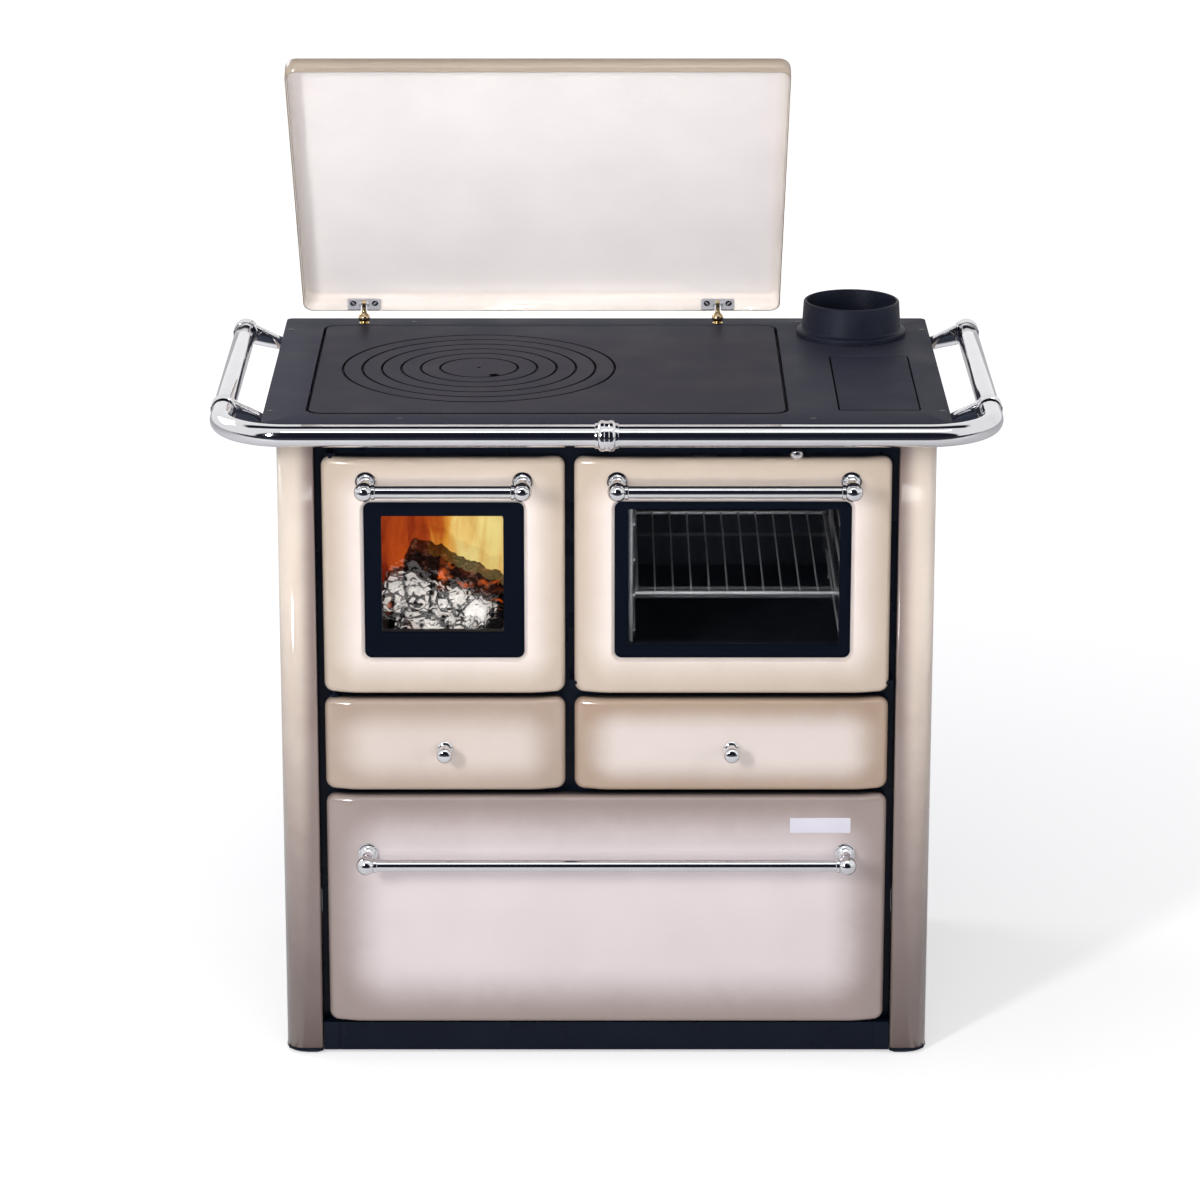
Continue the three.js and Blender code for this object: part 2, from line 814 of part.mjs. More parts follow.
// Steel muffle, open at the front, with a flange on the frame and two ribs under its floor.
function ovenMuffle() {
  const outer = rectangle(ovenMouth, 0, ovenSheet);
  const flangeEdge = rectangle(ovenMouth, softCorner, ovenFlange);
  let muffle = prismY(outer, carcassFront, ovenBack + ovenSheet);
  muffle = muffle.add(prismY(flangeEdge, carcassFront, carcassFront + sheet));
  muffle = muffle.subtract(prismY(rectangle(ovenMouth), carcassFront - 1, ovenBack));
  const low = ovenDeckHeight + seat;
  const high = ovenFloor - ovenSheet / 2;
  const front = carcassFront + ovenRibEnds;
  const back = ovenBack - ovenRibEnds;
  [ovenLeft + ovenRibInset, ovenRight - ovenRibInset - ovenRibWidth].forEach((x) => {
    muffle = muffle.add(block([x, front, low], [x + ovenRibWidth, back, high]));
  });
  return muffle;
}

piece("oven_muffle", ovenMuffle(), blackSheet);

const runnerReach = [carcassFront + runnerEnds, ovenBack - runnerEnds];
const firstRunner = ovenFloor + runnerRise;
const runnerPitch = (ovenTop - runnerTopDrop - firstRunner) / (runnerCount - 1);
const runnerHeights = Array.from({ length: runnerCount }, (_, i) => firstRunner + runnerPitch * i);

// Ladder of wire on an oven wall: two uprights with shelf runners on their inner side.
function ovenRack(wall, inward) {
  const uprightX = wall + inward * (uprightRadius + seat);
  const runnerX = uprightX + inward * (uprightRadius + runnerRadius / 2);
  const [front, back] = runnerReach;
  const low = ovenFloor + seat;
  const height = ovenTop - uprightTopDrop - low;
  const upright = (y) => rod(uprightRadius, height, wireSides, Z, vector(uprightX, y, low));
  let rack = upright(front + uprightInset).add(upright(back - uprightInset));
  runnerHeights.forEach((z) => {
    rack = rack.add(rod(runnerRadius, back - front, wireSides, Y, vector(runnerX, front, z)));
  });
  return rack;
}

piece("oven_rack_left", ovenRack(ovenLeft, 1), wire);
piece("oven_rack_right", ovenRack(ovenRight, -1), wire);

// Wire shelf: a frame with wires from front to back, lying on a pair of runners.
function ovenShelf() {
  const inset = 2 * uprightRadius + 2 * seat + shelfFrameRadius;
  const left = ovenLeft + inset;
  const right = ovenRight - inset;
  const front = carcassFront + shelfStart;
  const back = ovenBack - shelfFromBack;
  const depth = back - front;
  const z = runnerHeights[shelfRunner] + runnerRadius + shelfFrameRadius + seat;
  const reach = right - left;
  let shelf = rod(shelfFrameRadius, reach, wireSides, X, vector(left, front, z));
  shelf = shelf.add(rod(shelfFrameRadius, reach, wireSides, X, vector(left, back, z)));
  const pitch = (reach - 2 * shelfFrameRadius) / (shelfWires + 1);
  for (let i = 0; i <= shelfWires + 1; i += 1) {
    const side = i === 0 || i === shelfWires + 1;
    const radius = side ? shelfFrameRadius : shelfWireRadius;
    const x = left + shelfFrameRadius + pitch * i;
    shelf = shelf.add(rod(radius, depth, wireSides, Y, vector(x, front, z)));
  }
  return shelf;
}

piece("oven_shelf", ovenShelf(), wire);

// ---------------------------------------------------------------- worktop

const ringPlace = (z) => vector(ringCentreX, ringCentreY, z);
const ledgeTop = surface - ringLipThickness - 2 * seat;
const lipBottom = surface - ringLipThickness - seat;
const plateBottom = surface - plateThickness;
const above = surface + 1;

// Rebate and through hole for a plate that lies flush in the worktop.
function plateRecess(span, corner, gap) {
  const pocket = prismZ(rectangle(span, corner, gap), surface - rebate, above);
  const hole = prismZ(rectangle(span, corner, -ledgeWidth), underside - 1, above);
  return pocket.add(hole);
}

// Two rails under the worktop that carry the damper plate below the flue.
const damperPlateTop = underside - damperPlateDrop;
const damperPlateBottom = damperPlateTop - damperPlateThickness;

function damperRails() {
  const wall = damperPlateHalf + run;
  const outside = wall + damperRailThickness;
  const tip = wall - damperRailHook;
  const low = damperPlateBottom - run - damperRailThickness;
  const high = low + damperRailThickness;
  const hook = (side) => {
    const at = (x) => flueX + side * x;
    const outline = outlineOf([
      [at(wall), underside + 1],
      [at(wall), high],
      [at(tip), high],
      [at(tip), low],
      [at(outside), low],
      [at(outside), underside + 1],
    ]);
    return prismY(outline, coverSpan[3] + 2 * run, bodyBack - seat);
  };
  return hook(1).add(hook(-1));
}

// Cast top with a skirt, recesses for the loose plates, the flue hole and the hinge posts' holes.
function worktopFrame() {
  const outline = [-halfWorktop, halfWorktop, 0, worktopDepth];
  const bottom = surface - skirtHeight;
  const hollow = prismZ(rectangle(outline, worktopCorner, -skirtThickness), bottom - 1, underside);
  const edge = (margin, z) => rectangle(outline, worktopCorner, margin).map((p) => vector(p.x, p.y, z));
  let top = lofted([edge(0, bottom), edge(0, surface - worktopEdge), edge(-worktopEdge, surface)]);
  top = top.subtract(hollow);
  top = top.subtract(plateRecess(hobSpan, hobCorner, hobGap));
  top = top.subtract(plateRecess(coverSpan, coverCorner, coverGap));
  const through = worktopThickness + 2;
  const spigot = flueBore + flueWall + seat;
  top = top.subtract(rod(spigot, through, ringSides, Z, vector(flueX, flueY, underside - 1)));
  const studHole = holeRadius(postRadius, seat, postSides);
  lidPostX.forEach((x) => {
    const hole = rod(studHole, through, postSides, Z, vector(x, lidPivotY, underside - 1));
    top = top.subtract(hole);
  });
  return top.add(damperRails());
}

piece("worktop_frame", worktopFrame(), castIron);

// Cast plate with a stepped round hole for the rings.
function hobPlate() {
  const [outer] = ringRadii;
  const step = rod(outer + ringGap, plateThickness, ringSides, Z, ringPlace(ledgeTop));
  const hole = rod(outer - ringLip, plateThickness * 2, ringSides, Z, ringPlace(plateBottom - 1));
  return prismZ(rectangle(hobSpan, hobCorner), plateBottom, surface).subtract(step).subtract(hole);
}

piece("hob_plate", hobPlate(), hobIron);

// Each ring hangs by a lip on the ledge of the next larger one.
ringRadii.slice(0, -1).forEach((outer, i) => {
  const inner = ringRadii[i + 1];
  const profile = [
    [inner - ringLip, plateBottom],
    [outer - ringLip - ringGap, plateBottom],
    [outer - ringLip - ringGap, lipBottom],
    [outer - ringGap, lipBottom],
    [outer - ringGap, surface],
    [inner + ringGap, surface],
    [inner + ringGap, ledgeTop],
    [inner - ringLip, ledgeTop],
    [inner - ringLip, plateBottom],
  ];
  piece(`hob_ring_${i + 1}`, turned(profile, ringSides, Z, ringPlace(0)), hobIron);
});

// Lid of the innermost ring, with a centre mark and a notch for the lifter.
function hobDisc() {
  const outer = ringRadii.at(-1);
  const disc = turned(
    [
      [0, plateBottom],
      [outer - ringLip - ringGap, plateBottom],
      [outer - ringLip - ringGap, lipBottom],
      [outer - ringGap, lipBottom],
      [outer - ringGap, surface],
      [0, surface],
    ],
    ringSides,
    Z,
    ringPlace(0),
  );
  const markRadius = ringLipThickness / 2;
  const mark = rod(markRadius, markRadius + 1, postSides, Z, ringPlace(surface - markRadius));
  const left = ringCentreX + notchFromMiddle - notchWidth / 2;
  const front = ringCentreY - outer;
  const low = surface - ringLipThickness * 0.75;
  const notch = block(
    [left, front - notchWidth / 2, low],
    [left + notchWidth, front + notchWidth / 2, above],
  );
  return disc.subtract(mark).subtract(notch);
}

piece("hob_disc", hobDisc(), hobIron);
piece(
  "inspection_cover",
  prismZ(rectangle(coverSpan, coverCorner), plateBottom, surface),
  castIron,
);

// Flue collar: a flange on the worktop, a spigot in its hole and a tapered wall above.
function flueCollar() {
  const outer = flueBore + flueWall;
  const foot = outer + flueTaper;
  const edge = flueFlangeEdge;
  const profile = [
    [flueBore, -flueSpigot],
    [outer, -flueSpigot],
    [outer, seat],
    [flueFlange, seat],
    [flueFlange, flueFlangeThickness - edge],
    [flueFlange - edge, flueFlangeThickness],
    [foot + edge, flueFlangeThickness],
    [foot, flueFlangeThickness + edge],
    [outer, flueHeight - edge],
    [outer - flueWall / 5, flueHeight],
    [flueBore, flueHeight],
    [flueBore, -flueSpigot],
  ];
  return turned(profile, ringSides, Z, vector(flueX, flueY, surface));
}

piece("flue_collar", flueCollar(), castIron);

// Damper: a knob on a rod that draws a plate forward from under the flue.
function damper() {
  const front = flueY - damperPlateAhead;
  const plate = block(
    [flueX - damperPlateHalf, front, damperPlateBottom],
    [flueX + damperPlateHalf, bodyBack - 2 * run, damperPlateTop],
  );
  const railFoot = damperPlateBottom - run - damperRailThickness;
  const passLeft = flueX - damperPlateHalf + damperRailHook + 3 * run;
  const passRight = passLeft + damperPass;
  const tabLeft = damperX - damperTabHalf;
  const tabLow = damperHeight - damperTabHalf;
  const tab = outlineOf([
    [tabLeft, tabLow],
    [passRight, tabLow],
    [passRight, damperPlateTop],
    [passLeft, damperPlateTop],
    [passLeft, railFoot - 2 * run],
    [tabLeft, railFoot - 2 * run],
  ]);
  const back = vector(damperX, front, damperHeight);
  const stem = rod(damperRodRadius, front - damperKnobSetback, turnedSides, FRONT, back);
  const r = damperKnobRadius;
  const ball = [
    [0, -1.2 * r],
    [0.6 * r, -1.1 * r],
    [0.87 * r, -0.5 * r],
    [r, 0],
    [0.87 * r, 0.5 * r],
    [0.5 * r, 0.87 * r],
    [0, r],
  ];
  const knob = turned(ball, turnedSides, FRONT, vector(damperX, damperKnobSetback, damperHeight));
  return plate.add(prismY(tab, front, front + damperRailThickness)).add(stem).add(knob);
}

piece("damper", damper(), chrome);

// ---------------------------------------------------------------- rail

// Points of a circle.
function circle(radius, sides) {
  return Array.from({ length: sides }, (_, i) => {
    const angle = (2 * Math.PI * i) / sides;
    return new THREE.Vector2(radius * Math.cos(angle), radius * Math.sin(angle));
  });
}

// One bent tube along the front, round both corners and back to the front brackets.
function frontRail() {
  const path = new BentPath(
    [
      [-railSide, frontBracketY],
      [-railSide, -railFront],
      [railSide, -railFront],
      [railSide, frontBracketY],
    ],
    railBend,
    8,
  );
  const section = new THREE.Shape(circle(railRadius, railSides));
  const geometry = new THREE.ExtrudeGeometry(section, {
    steps: path.points.length - 1,
    extrudePath: path,
    bevelEnabled: false,
  });
  return solid(geometry.translate(0, 0, railHeight));
}

piece("rail_front", frontRail(), chrome);

// Straight side tube with a domed rear end.
function sideRail() {
  const start = frontBracketY + seat;
  const length = rearBracketY + bracketWidth / 2 + railEnd - start;
  const profile = [
    [0, 0],
    [railRadius, 0],
    [railRadius, length - 0.8 * railEnd],
    [railRadius * 0.9, length - 0.3 * railEnd],
    [railRadius * 0.6, length - 0.1 * railEnd],
    [0, length],
  ];
  return turned(profile, railSides, Y, vector(railSide, start, railHeight));
}

piece("rail_side_right", sideRail(), chrome);
piece("rail_side_left", mirrored(sideRail()), chrome);

const railHole = holeRadius(railRadius, seat, railSides);

// Bracket: an eye round the tube and an arm that slopes down to the worktop's skirt.
function railBracket(y) {
  const front = y - bracketWidth / 2;
  const wall = worktopWidth / 2 + seat;
  const eye = rod(eyeRadius, bracketWidth, railSides, Y, vector(railSide, front, railHeight));
  const soft = railRadius / 2;
  const arm = rounded([
    [wall, surface - skirtHeight + armFoot],
    [railSide - soft, railHeight - railRadius, soft],
    [railSide - soft, railHeight + railRadius, soft],
    [wall, surface - armRoot],
  ]);
  const bore = rod(railHole, bracketWidth + 2, railSides, Y, vector(railSide, front - 1, railHeight));
  return eye.add(prismY(arm, front + 1, front + bracketWidth - 1)).subtract(bore);
}

[
  ["front", frontBracketY],
  ["rear", rearBracketY],
].forEach(([place, y]) => {
  piece(`rail_bracket_${place}_right`, railBracket(y), chrome);
  piece(`rail_bracket_${place}_left`, mirrored(railBracket(y)), chrome);
});

// Middle support: a turned collar round the tube and an arm back to the skirt.
function railCoupling() {
  const half = couplingHalf;
  const hub = couplingHubHalf;
  const sleeve = railRadius + 1.6;
  const step = (couplingRadius - sleeve) / 2;
  const profile = [
    [0, -half],
    [sleeve, -half],
    [sleeve, -hub - step],
    [couplingRadius - step, -hub],
    [couplingRadius, -hub + step],
    [couplingRadius, hub - step],
    [couplingRadius - step, hub],
    [sleeve, hub + step],
    [sleeve, half],
    [0, half],
  ];
  const collar = turned(profile, railSides, X, vector(0, -railFront, railHeight));
  const arm = outlineOf([
    [-railFront, railHeight - railRadius],
    [-seat, surface - skirtHeight + armFoot],
    [-seat, surface - armRoot],
    [-railFront, railHeight],
  ]);
  const bore = rod(railHole, 2 * half + 2, railSides, X, vector(-half - 1, -railFront, railHeight));
  return collar.add(prismX(arm, -couplingArmHalf, couplingArmHalf)).subtract(bore);
}

piece("rail_coupling", railCoupling(), chrome);

// ---------------------------------------------------------------- lid

// Brass post with a bead and a flat eye for the lid's pin.
function lidPost(x) {
  const top = lidPivotRise - postRadius;
  const bead = postBeadRise;
  const profile = [
    [0, -worktopThickness - postRadius],
    [postRadius, -worktopThickness - postRadius],
    [postRadius, seat],
    [postFoot, seat],
    [postFoot, 0.2 * bead],
    [0.7 * postBead, 0.3 * bead],
    [0.9 * postBead, 0.6 * bead],
    [postBead, bead],
    [0.87 * postBead, 1.45 * bead],
    [0.5 * postBead, 1.8 * bead],
    [postRadius, 2 * bead],
    [postRadius, top],
    [0, top],
  ];
  const place = vector(x, lidPivotY, surface);
  const left = x - lidTongue / 2;
  const eye = rod(lidEyeRadius, lidTongue, postSides, X, vector(left, lidPivotY, lidPivotZ));
  const hole = holeRadius(lidPinRadius, seat, postSides);
  const bore = rod(hole, lidTongue + 2, postSides, X, vector(left - 1, lidPivotY, lidPivotZ));
  return turned(profile, postSides, Z, place).add(eye).subtract(bore);
}

piece("lid_post_left", lidPost(lidPostX[0]), brass);
piece("lid_post_right", lidPost(lidPostX[1]), brass);

// The lid is modelled closed, with y and z measured from its pivot line, and then swung open.
const lid = new THREE.Group();
lid.position.set(0, lidPivotY, lidPivotZ);
lid.rotation.x = THREE.MathUtils.degToRad(-lidOpen);
stove.add(lid);

const rimInner = lidPivotAheadOfRim;
const rimOuter = rimInner + lidSheet;
const rimEdge = -lidPivotAboveEdge;

// Pressed tray: a flat panel whose edges turn down all round.
function lidShell() {
  const span = [lidLeft, lidLeft + lidWidth, rimOuter - lidDepth, rimOuter];
  const top = rimEdge + lidRim;
  const ring = (margin, z) => rectangle(span, lidCorner, -margin).map((p) => vector(p.x, p.y, z));
  const r = lidEdge;
  const t = lidSheet;
  const outside = lofted([ring(0, rimEdge), ring(0, top - r), ring(0.3 * r, top - 0.3 * r), ring(r, top)]);
  const inside = lofted([
    ring(t, rimEdge - 1),
    ring(t, top - r),
    ring(t + 0.25 * r, top - t - 0.25 * r),
    ring(t + 0.8 * r, top - t),
  ]);
  let shell = outside.subtract(inside);
  const half = lidSlot / 2 + seat;
  lidPostX.forEach((x) => {
    const low = [x - half, rimInner - lidSheet, rimEdge - 1];
    const high = [x + half, rimOuter + lidSheet, lidEyeRadius + lidSheet];
    shell = shell.subtract(block(low, high));
  });
  return shell;
}

piece("lid_shell", lidShell(), lidEnamel, lid);

// Hinge plate inside the rear rim, slotted for the post, with two ears that hold the pin.
function lidHinge(x) {
  const back = rimInner - seat;
  const front = back - hingePlateThickness;
  const half = hingePlateWidth / 2;
  const low = rimEdge;
  const high = low + hingePlateHeight;
  const slot = lidSlot / 2;
  const slotTop = lidEyeRadius + run;
  const outline = rounded([
    [x - half, low, hingePlateCorner],
    [x - slot, low],
    [x - slot, slotTop],
    [x + slot, slotTop],
    [x + slot, low],
    [x + half, low, hingePlateCorner],
    [x + half, high, hingePlateCorner],
    [x - half, high, hingePlateCorner],
  ]);
  const reach = slot + hingeEar;
  const span = 2 * hingeBarrel;
  const barrel = rod(hingeBarrel, 2 * reach, postSides, X, vector(x - reach, 0, 0));
  const gap = block([x - slot, -span, -span], [x + slot, span, span]);
  const behind = block([x - half, back, -span], [x + half, span, span]);
  const pin = rod(lidPinRadius, 2 * reach, postSides, X, vector(x - reach, 0, 0));
  const plate = prismY(outline, front, back);
  return plate.add(barrel.subtract(gap).subtract(behind)).add(pin);
}

piece("lid_hinge_left", lidHinge(lidPostX[0]), zinc, lid);
piece("lid_hinge_right", lidHinge(lidPostX[1]), zinc, lid);

// ---------------------------------------------------------------- pressed fronts

// The space inside a front's outer skin, drawn in by a margin: flat in the middle, slanted at the
// sides and rounded at all edges. With a margin it runs out of the back.
function frontForm([left, right, low, high], margin) {
  const l = left + margin;
  const r = right - margin;
  const b = low + margin;
  const t = high - margin;
  const face = frontFace + margin;
  const back = margin ? frontBack + 1 : frontBack;
  const edge = frontEdge - margin;
  const plan = rounded([
    [l, back],
    [l, face + facetDrop, edge],
    [left + facetWidth, face, facetBend],
    [right - facetWidth, face, facetBend],
    [r, face + facetDrop, edge],
    [r, back],
  ]);
  const profile = rounded([
    [face, b, edge],
    [face, t, edge],
    [back, t],
    [back, b],
  ]);
  const outline = rectangle([l, r, b, t], frontCorner - margin);
  return prismZ(plan, b, t)
    .intersect(prismX(profile, l, r))
    .intersect(prismY(outline, face - 1, back));
}

// Pressed skin of a door or drawer, with a bevelled window if it has one.
function frontSkin(span, window) {
  const skin = frontForm(span, 0).subtract(frontForm(span, sheet));
  if (!window) return skin;
  const collarBack = frontFace + collarDepth;
  const collar = prismY(
    rectangle(window, windowCorner, windowBevel + sheet),
    frontFace + sheet / 2,
    collarBack,
  );
  const ring = (margin, y) =>
    rectangle(window, windowCorner, margin).map((p) => vector(p.x, y, p.y));
  const bevel = lofted([
    ring(0, frontBack + 1),
    ring(0, collarBack - 1),
    ring(windowBevel, frontFace - 0.01),
    ring(windowBevel, frontFace - 1),
  ]);
  return skin.add(collar).subtract(bevel);
}

// Glass behind a window.
function pane(window) {
  const front = frontFace + collarDepth + seat;
  return prismY(rectangle(window, windowCorner, paneLap), front, front + paneThickness);
}

// Inner door plate inside the skin, with a tunnel to the glass and a seal towards the frame.
function doorLiner([left, right, low, high], view) {
  const soft = (span, radius, margin = 0) => rectangle(span, radius, margin, 2);
  const plateFront = frontFace + linerStart;
  const plateBack = plateFront + linerThickness;
  const lap = sheet + seat;
  const outline = soft([left + lap, right - lap, low + lap, high - lap], frontEdge);
  const clear = soft(view, viewCorner);
  const plate = prismY(outline, plateFront, plateBack, [clear]);
  const glassBack = frontFace + collarDepth + paneThickness + 2 * seat;
  const tunnel = prismY(soft(view, viewCorner, tunnelWall), glassBack, plateFront + 1, [clear]);
  const inset = [left + sealInset, right - sealInset, low + sealInset, high - sealInset];
  const seal = prismY(soft(inset, sealCorner), plateBack - 1, frameY - seat, [
    soft(inset, sealCorner, -sealWidth),
  ]);
  return plate.add(tunnel).add(seal);
}

// Two turned posts with ball ends and a bar between them.
function barHandle([left, right], height) {
  const b = ballRadius;
  const ball = [54, 18, -18, -54, -90].map((degrees) => {
    const angle = THREE.MathUtils.degToRad(-degrees);
    return [b * Math.cos(angle), barStandoff + b * Math.sin(angle)];
  });
  ball.at(-1)[0] = 0;
  const [neck] = ball;
  neck[0] = Math.max(neck[0], neckRadius);
  const profile = [
    [0, seat],
    [rosetteRadius, seat],
    [rosetteRadius, 0.3 * rosetteHeight],
    [0.77 * rosetteRadius, 0.85 * rosetteHeight],
    [0.58 * rosetteRadius, rosetteHeight],
    [0.7 * rosetteRadius, 0.75 * neckHeight],
    [neckRadius, neckHeight],
    [neckRadius, 2 * neckHeight],
    ...ball,
  ];
  const place = (x) => vector(x, frontFace, height);
  const start = vector(left, frontFace - barStandoff, height);
  const bar = rod(barRadius, right - left, turnedSides, X, start);
  const posts = [left, right].map((x) => turned(profile, turnedSides, FRONT, place(x)));
  return posts[0].add(posts[1]).add(bar);
}

// A front's handle, with its posts set in from the front's side edges.
function handleOf([left, right, , top], insets, drop) {
  return barHandle([left + insets[0], right - insets[1]], top - drop);
}

// Mushroom knob in the middle of a small drawer.
function drawerKnob([left, right, bottom]) {
  const end = knobStandoff;
  const profile = [
    [0, seat],
    [knobFoot, seat],
    [0.94 * knobFoot, 0.08 * end],
    [0.5 * knobFoot, 0.18 * end],
    [knobNeck, 0.44 * end],
    [0.92 * knobRadius, 0.62 * end],
    [knobRadius, 0.76 * end],
    [0.83 * knobRadius, 0.92 * end],
    [0, end],
  ];
  const place = vector((left + right) / 2, frontFace, bottom + smallKnobRise);
  return turned(profile, turnedSides, FRONT, place);
}

// Open-topped sheet box with a flange that closes the back of the skin.
function drawerBox([left, right, floor, top], skinSpan) {
  const front = frontBack + seat;
  const flangeBack = front + sheet;
  const flange = rectangle(skinSpan, softCorner, -boxFlangeInset, 2);
  const outer = block([left, flangeBack - sheet / 4, floor], [right, boxBack, top]);
  const inner = block(
    [left + boxSheet, flangeBack + sheet / 2, floor + boxSheet],
    [right - boxSheet, boxBack - boxSheet, top + 1],
  );
  return prismY(flange, front, flangeBack).add(outer).subtract(inner);
}

// ---------------------------------------------------------------- doors

const pinHole = holeRadius(pinRadius, pinClearance, pinSides);

function fireDoorSkin() {
  const length = doorTop - doorBottom + 2;
  const hole = rod(pinHole, length, pinSides, Z, vector(firePivotX, pivotY, doorBottom - 1));
  return frontSkin(fireDoor, fireWindow).subtract(hole);
}

function ovenDoorSkin() {
  const length = frontsRight - ovenDoorLeft + 2;
  const hole = rod(pinHole, length, pinSides, X, vector(ovenDoorLeft - 1, pivotY, ovenPivotZ));
  return frontSkin(ovenDoor, ovenWindow).subtract(hole);
}

piece("firebox_door_skin", fireDoorSkin(), enamel);
piece("firebox_door_liner", doorLiner(fireDoor, fireView), blackSheet);
piece("firebox_glass", pane(fireWindow), glass);
piece("firebox_handle", handleOf(fireDoor, fireBarInsets, doorBarDrop), chrome);
piece("oven_door_skin", ovenDoorSkin(), enamel);
piece("oven_door_liner", doorLiner(ovenDoor, ovenView), blackSheet);
piece("oven_glass", pane(ovenWindow), glass);
piece("oven_handle", handleOf(ovenDoor, ovenBarInsets, doorBarDrop), chrome);

// ---------------------------------------------------------------- drawers

piece("ash_drawer_front", frontSkin(ashFront), enamel);
piece("ash_pan", drawerBox(ashBox, ashFront), blackSheet);
piece("ash_drawer_knob", drawerKnob(ashFront), chrome);
piece("utility_drawer_front", frontSkin(utilityFront), enamel);
piece("utility_drawer_box", drawerBox(utilityBox, utilityFront), blackSheet);
piece("utility_drawer_knob", drawerKnob(utilityFront), chrome);
piece("wood_drawer_front", frontSkin(woodFront), enamel);
piece("wood_drawer_box", drawerBox(woodBox, woodFront), blackSheet);
piece("wood_drawer_handle", handleOf(woodFront, woodBarInsets, woodBarDrop), chrome);

// ---------------------------------------------------------------- the whole stove

// The rail's collar reaches furthest forward and the worktop furthest back.
const frontmost = -railFront - couplingRadius;
stove.position.y = -(frontmost + worktopDepth) / 2;

const cookstove = new THREE.Group();
cookstove.add(stove);

export default cookstove;
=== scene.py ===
# %% [markdown]
# # A wood cookstove in cream enamel, black iron and chrome
# This notebook dresses a stove that already exists as a plain solid model. Each cell makes one
# piece or one finish, and the text before it says what the real thing is and why it is made so.
# All lengths are in metres, +Z is up and the stove's front faces -Y.

# %% Loading the solid model
import math
import random

import bmesh
import bpy
from mathutils import Matrix, Vector, noise


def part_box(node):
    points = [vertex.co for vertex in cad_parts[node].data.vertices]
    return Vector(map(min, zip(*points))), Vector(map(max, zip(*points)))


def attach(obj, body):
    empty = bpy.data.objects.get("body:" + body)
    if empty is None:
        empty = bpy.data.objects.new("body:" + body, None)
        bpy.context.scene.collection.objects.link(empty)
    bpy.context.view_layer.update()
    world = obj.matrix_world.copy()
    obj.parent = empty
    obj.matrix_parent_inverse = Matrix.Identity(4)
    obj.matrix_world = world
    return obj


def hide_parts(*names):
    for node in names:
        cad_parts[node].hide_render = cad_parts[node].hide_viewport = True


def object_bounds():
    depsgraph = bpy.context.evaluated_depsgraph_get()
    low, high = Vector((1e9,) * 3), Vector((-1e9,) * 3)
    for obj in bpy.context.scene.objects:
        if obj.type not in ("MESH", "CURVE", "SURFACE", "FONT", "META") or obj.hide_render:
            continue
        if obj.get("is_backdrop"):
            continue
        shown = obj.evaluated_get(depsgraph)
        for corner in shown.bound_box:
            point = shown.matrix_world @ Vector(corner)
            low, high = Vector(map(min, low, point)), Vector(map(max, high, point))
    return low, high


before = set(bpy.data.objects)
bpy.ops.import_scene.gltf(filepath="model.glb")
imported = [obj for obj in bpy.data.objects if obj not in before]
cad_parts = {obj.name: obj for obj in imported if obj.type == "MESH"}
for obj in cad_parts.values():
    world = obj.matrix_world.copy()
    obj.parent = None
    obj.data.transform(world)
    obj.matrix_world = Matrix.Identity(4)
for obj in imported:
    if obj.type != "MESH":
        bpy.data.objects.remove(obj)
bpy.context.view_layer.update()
MM = 0.001
EPS = 1e-5  # two numbers closer than this are the same
FRONT = -0.2394  # y of the worktop's front edge
RIGHT, BACK, OUT, UP = (1, 0, 0), (0, 1, 0), (0, -1, 0), (0, 0, 1)
SIDES = ((1, "right"), (-1, "left"))

# %% [markdown]
# ## The camera
# The photograph was taken from above with a long lens and its upright lines stay upright, which
# needs a strong lens shift. A shift would push the stove out of every other view, so this camera
# tilts down instead and stands further back, where tilting narrows the foot of the stove least.
# Its place was fitted to forty points of the stove.

# %% Camera
PHOTO_WIDTH = 1200
FOCAL_PIXELS = 4874.5
SENSOR = 36
camera_data = bpy.data.cameras.new("camera")
camera_data.lens = FOCAL_PIXELS / PHOTO_WIDTH * SENSOR
camera_data.sensor_width = SENSOR
camera = bpy.data.objects.new("camera", camera_data)
camera.location = (-0.0082, FRONT - 5.8123, 2.3949)
camera.rotation_euler = (math.radians(90 - 16.96), 0, 0)
bpy.context.scene.collection.objects.link(camera)
bpy.context.scene.camera = camera
bpy.context.scene.view_settings.view_transform = "Standard"

# %% [markdown]
# ## Small helpers
# Every piece below starts as a `bmesh`, a mesh held in memory that operators can change. The first
# helpers turn a finished `bmesh` into a named object that rides on a moving body of the solid
# model. The others wrap the operators that are used again and again.


# %% Helpers that finish a piece
def piece(name, bm, body, materials, stands_for=(), crease=32, recalculate=True):
    """Makes an object of a bmesh, smooth except where faces meet at more than the crease angle."""
    bmesh.ops.remove_doubles(bm, verts=bm.verts, dist=2e-6)
    if recalculate:
        bmesh.ops.recalc_face_normals(bm, faces=bm.faces)
    mesh = bpy.data.meshes.new(name)
    bm.to_mesh(mesh)
    bm.free()
    mesh.shade_smooth()
    mesh.set_sharp_from_angle(angle=math.radians(crease))
    for material in materials:
        mesh.materials.append(material)
    obj = bpy.data.objects.new(name, mesh)
    bpy.context.scene.collection.objects.link(obj)
    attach(obj, body)
    if stands_for:
        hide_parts(*stands_for)
    return obj


def solidified(obj, thickness):
    """Gives an open shell a wall on its inner side. Returns the modifier."""
    wall = obj.modifiers.new("wall", "SOLIDIFY")
    wall.thickness = thickness
    wall.offset = -1
    return wall


# %% Helpers that look at the solid model
def middle_of(name):
    """The middle of a node's box."""
    low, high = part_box(name)
    return (low + high) / 2


def span_of(name):
    """Left, right, front and back of a node."""
    low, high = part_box(name)
    return (low.x, high.x, low.y, high.y)


# %% Helpers that choose vertices, edges and faces
def near(value, *marks):
    """Whether a number equals one of the marks."""
    return any(abs(value - mark) < EPS for mark in marks)


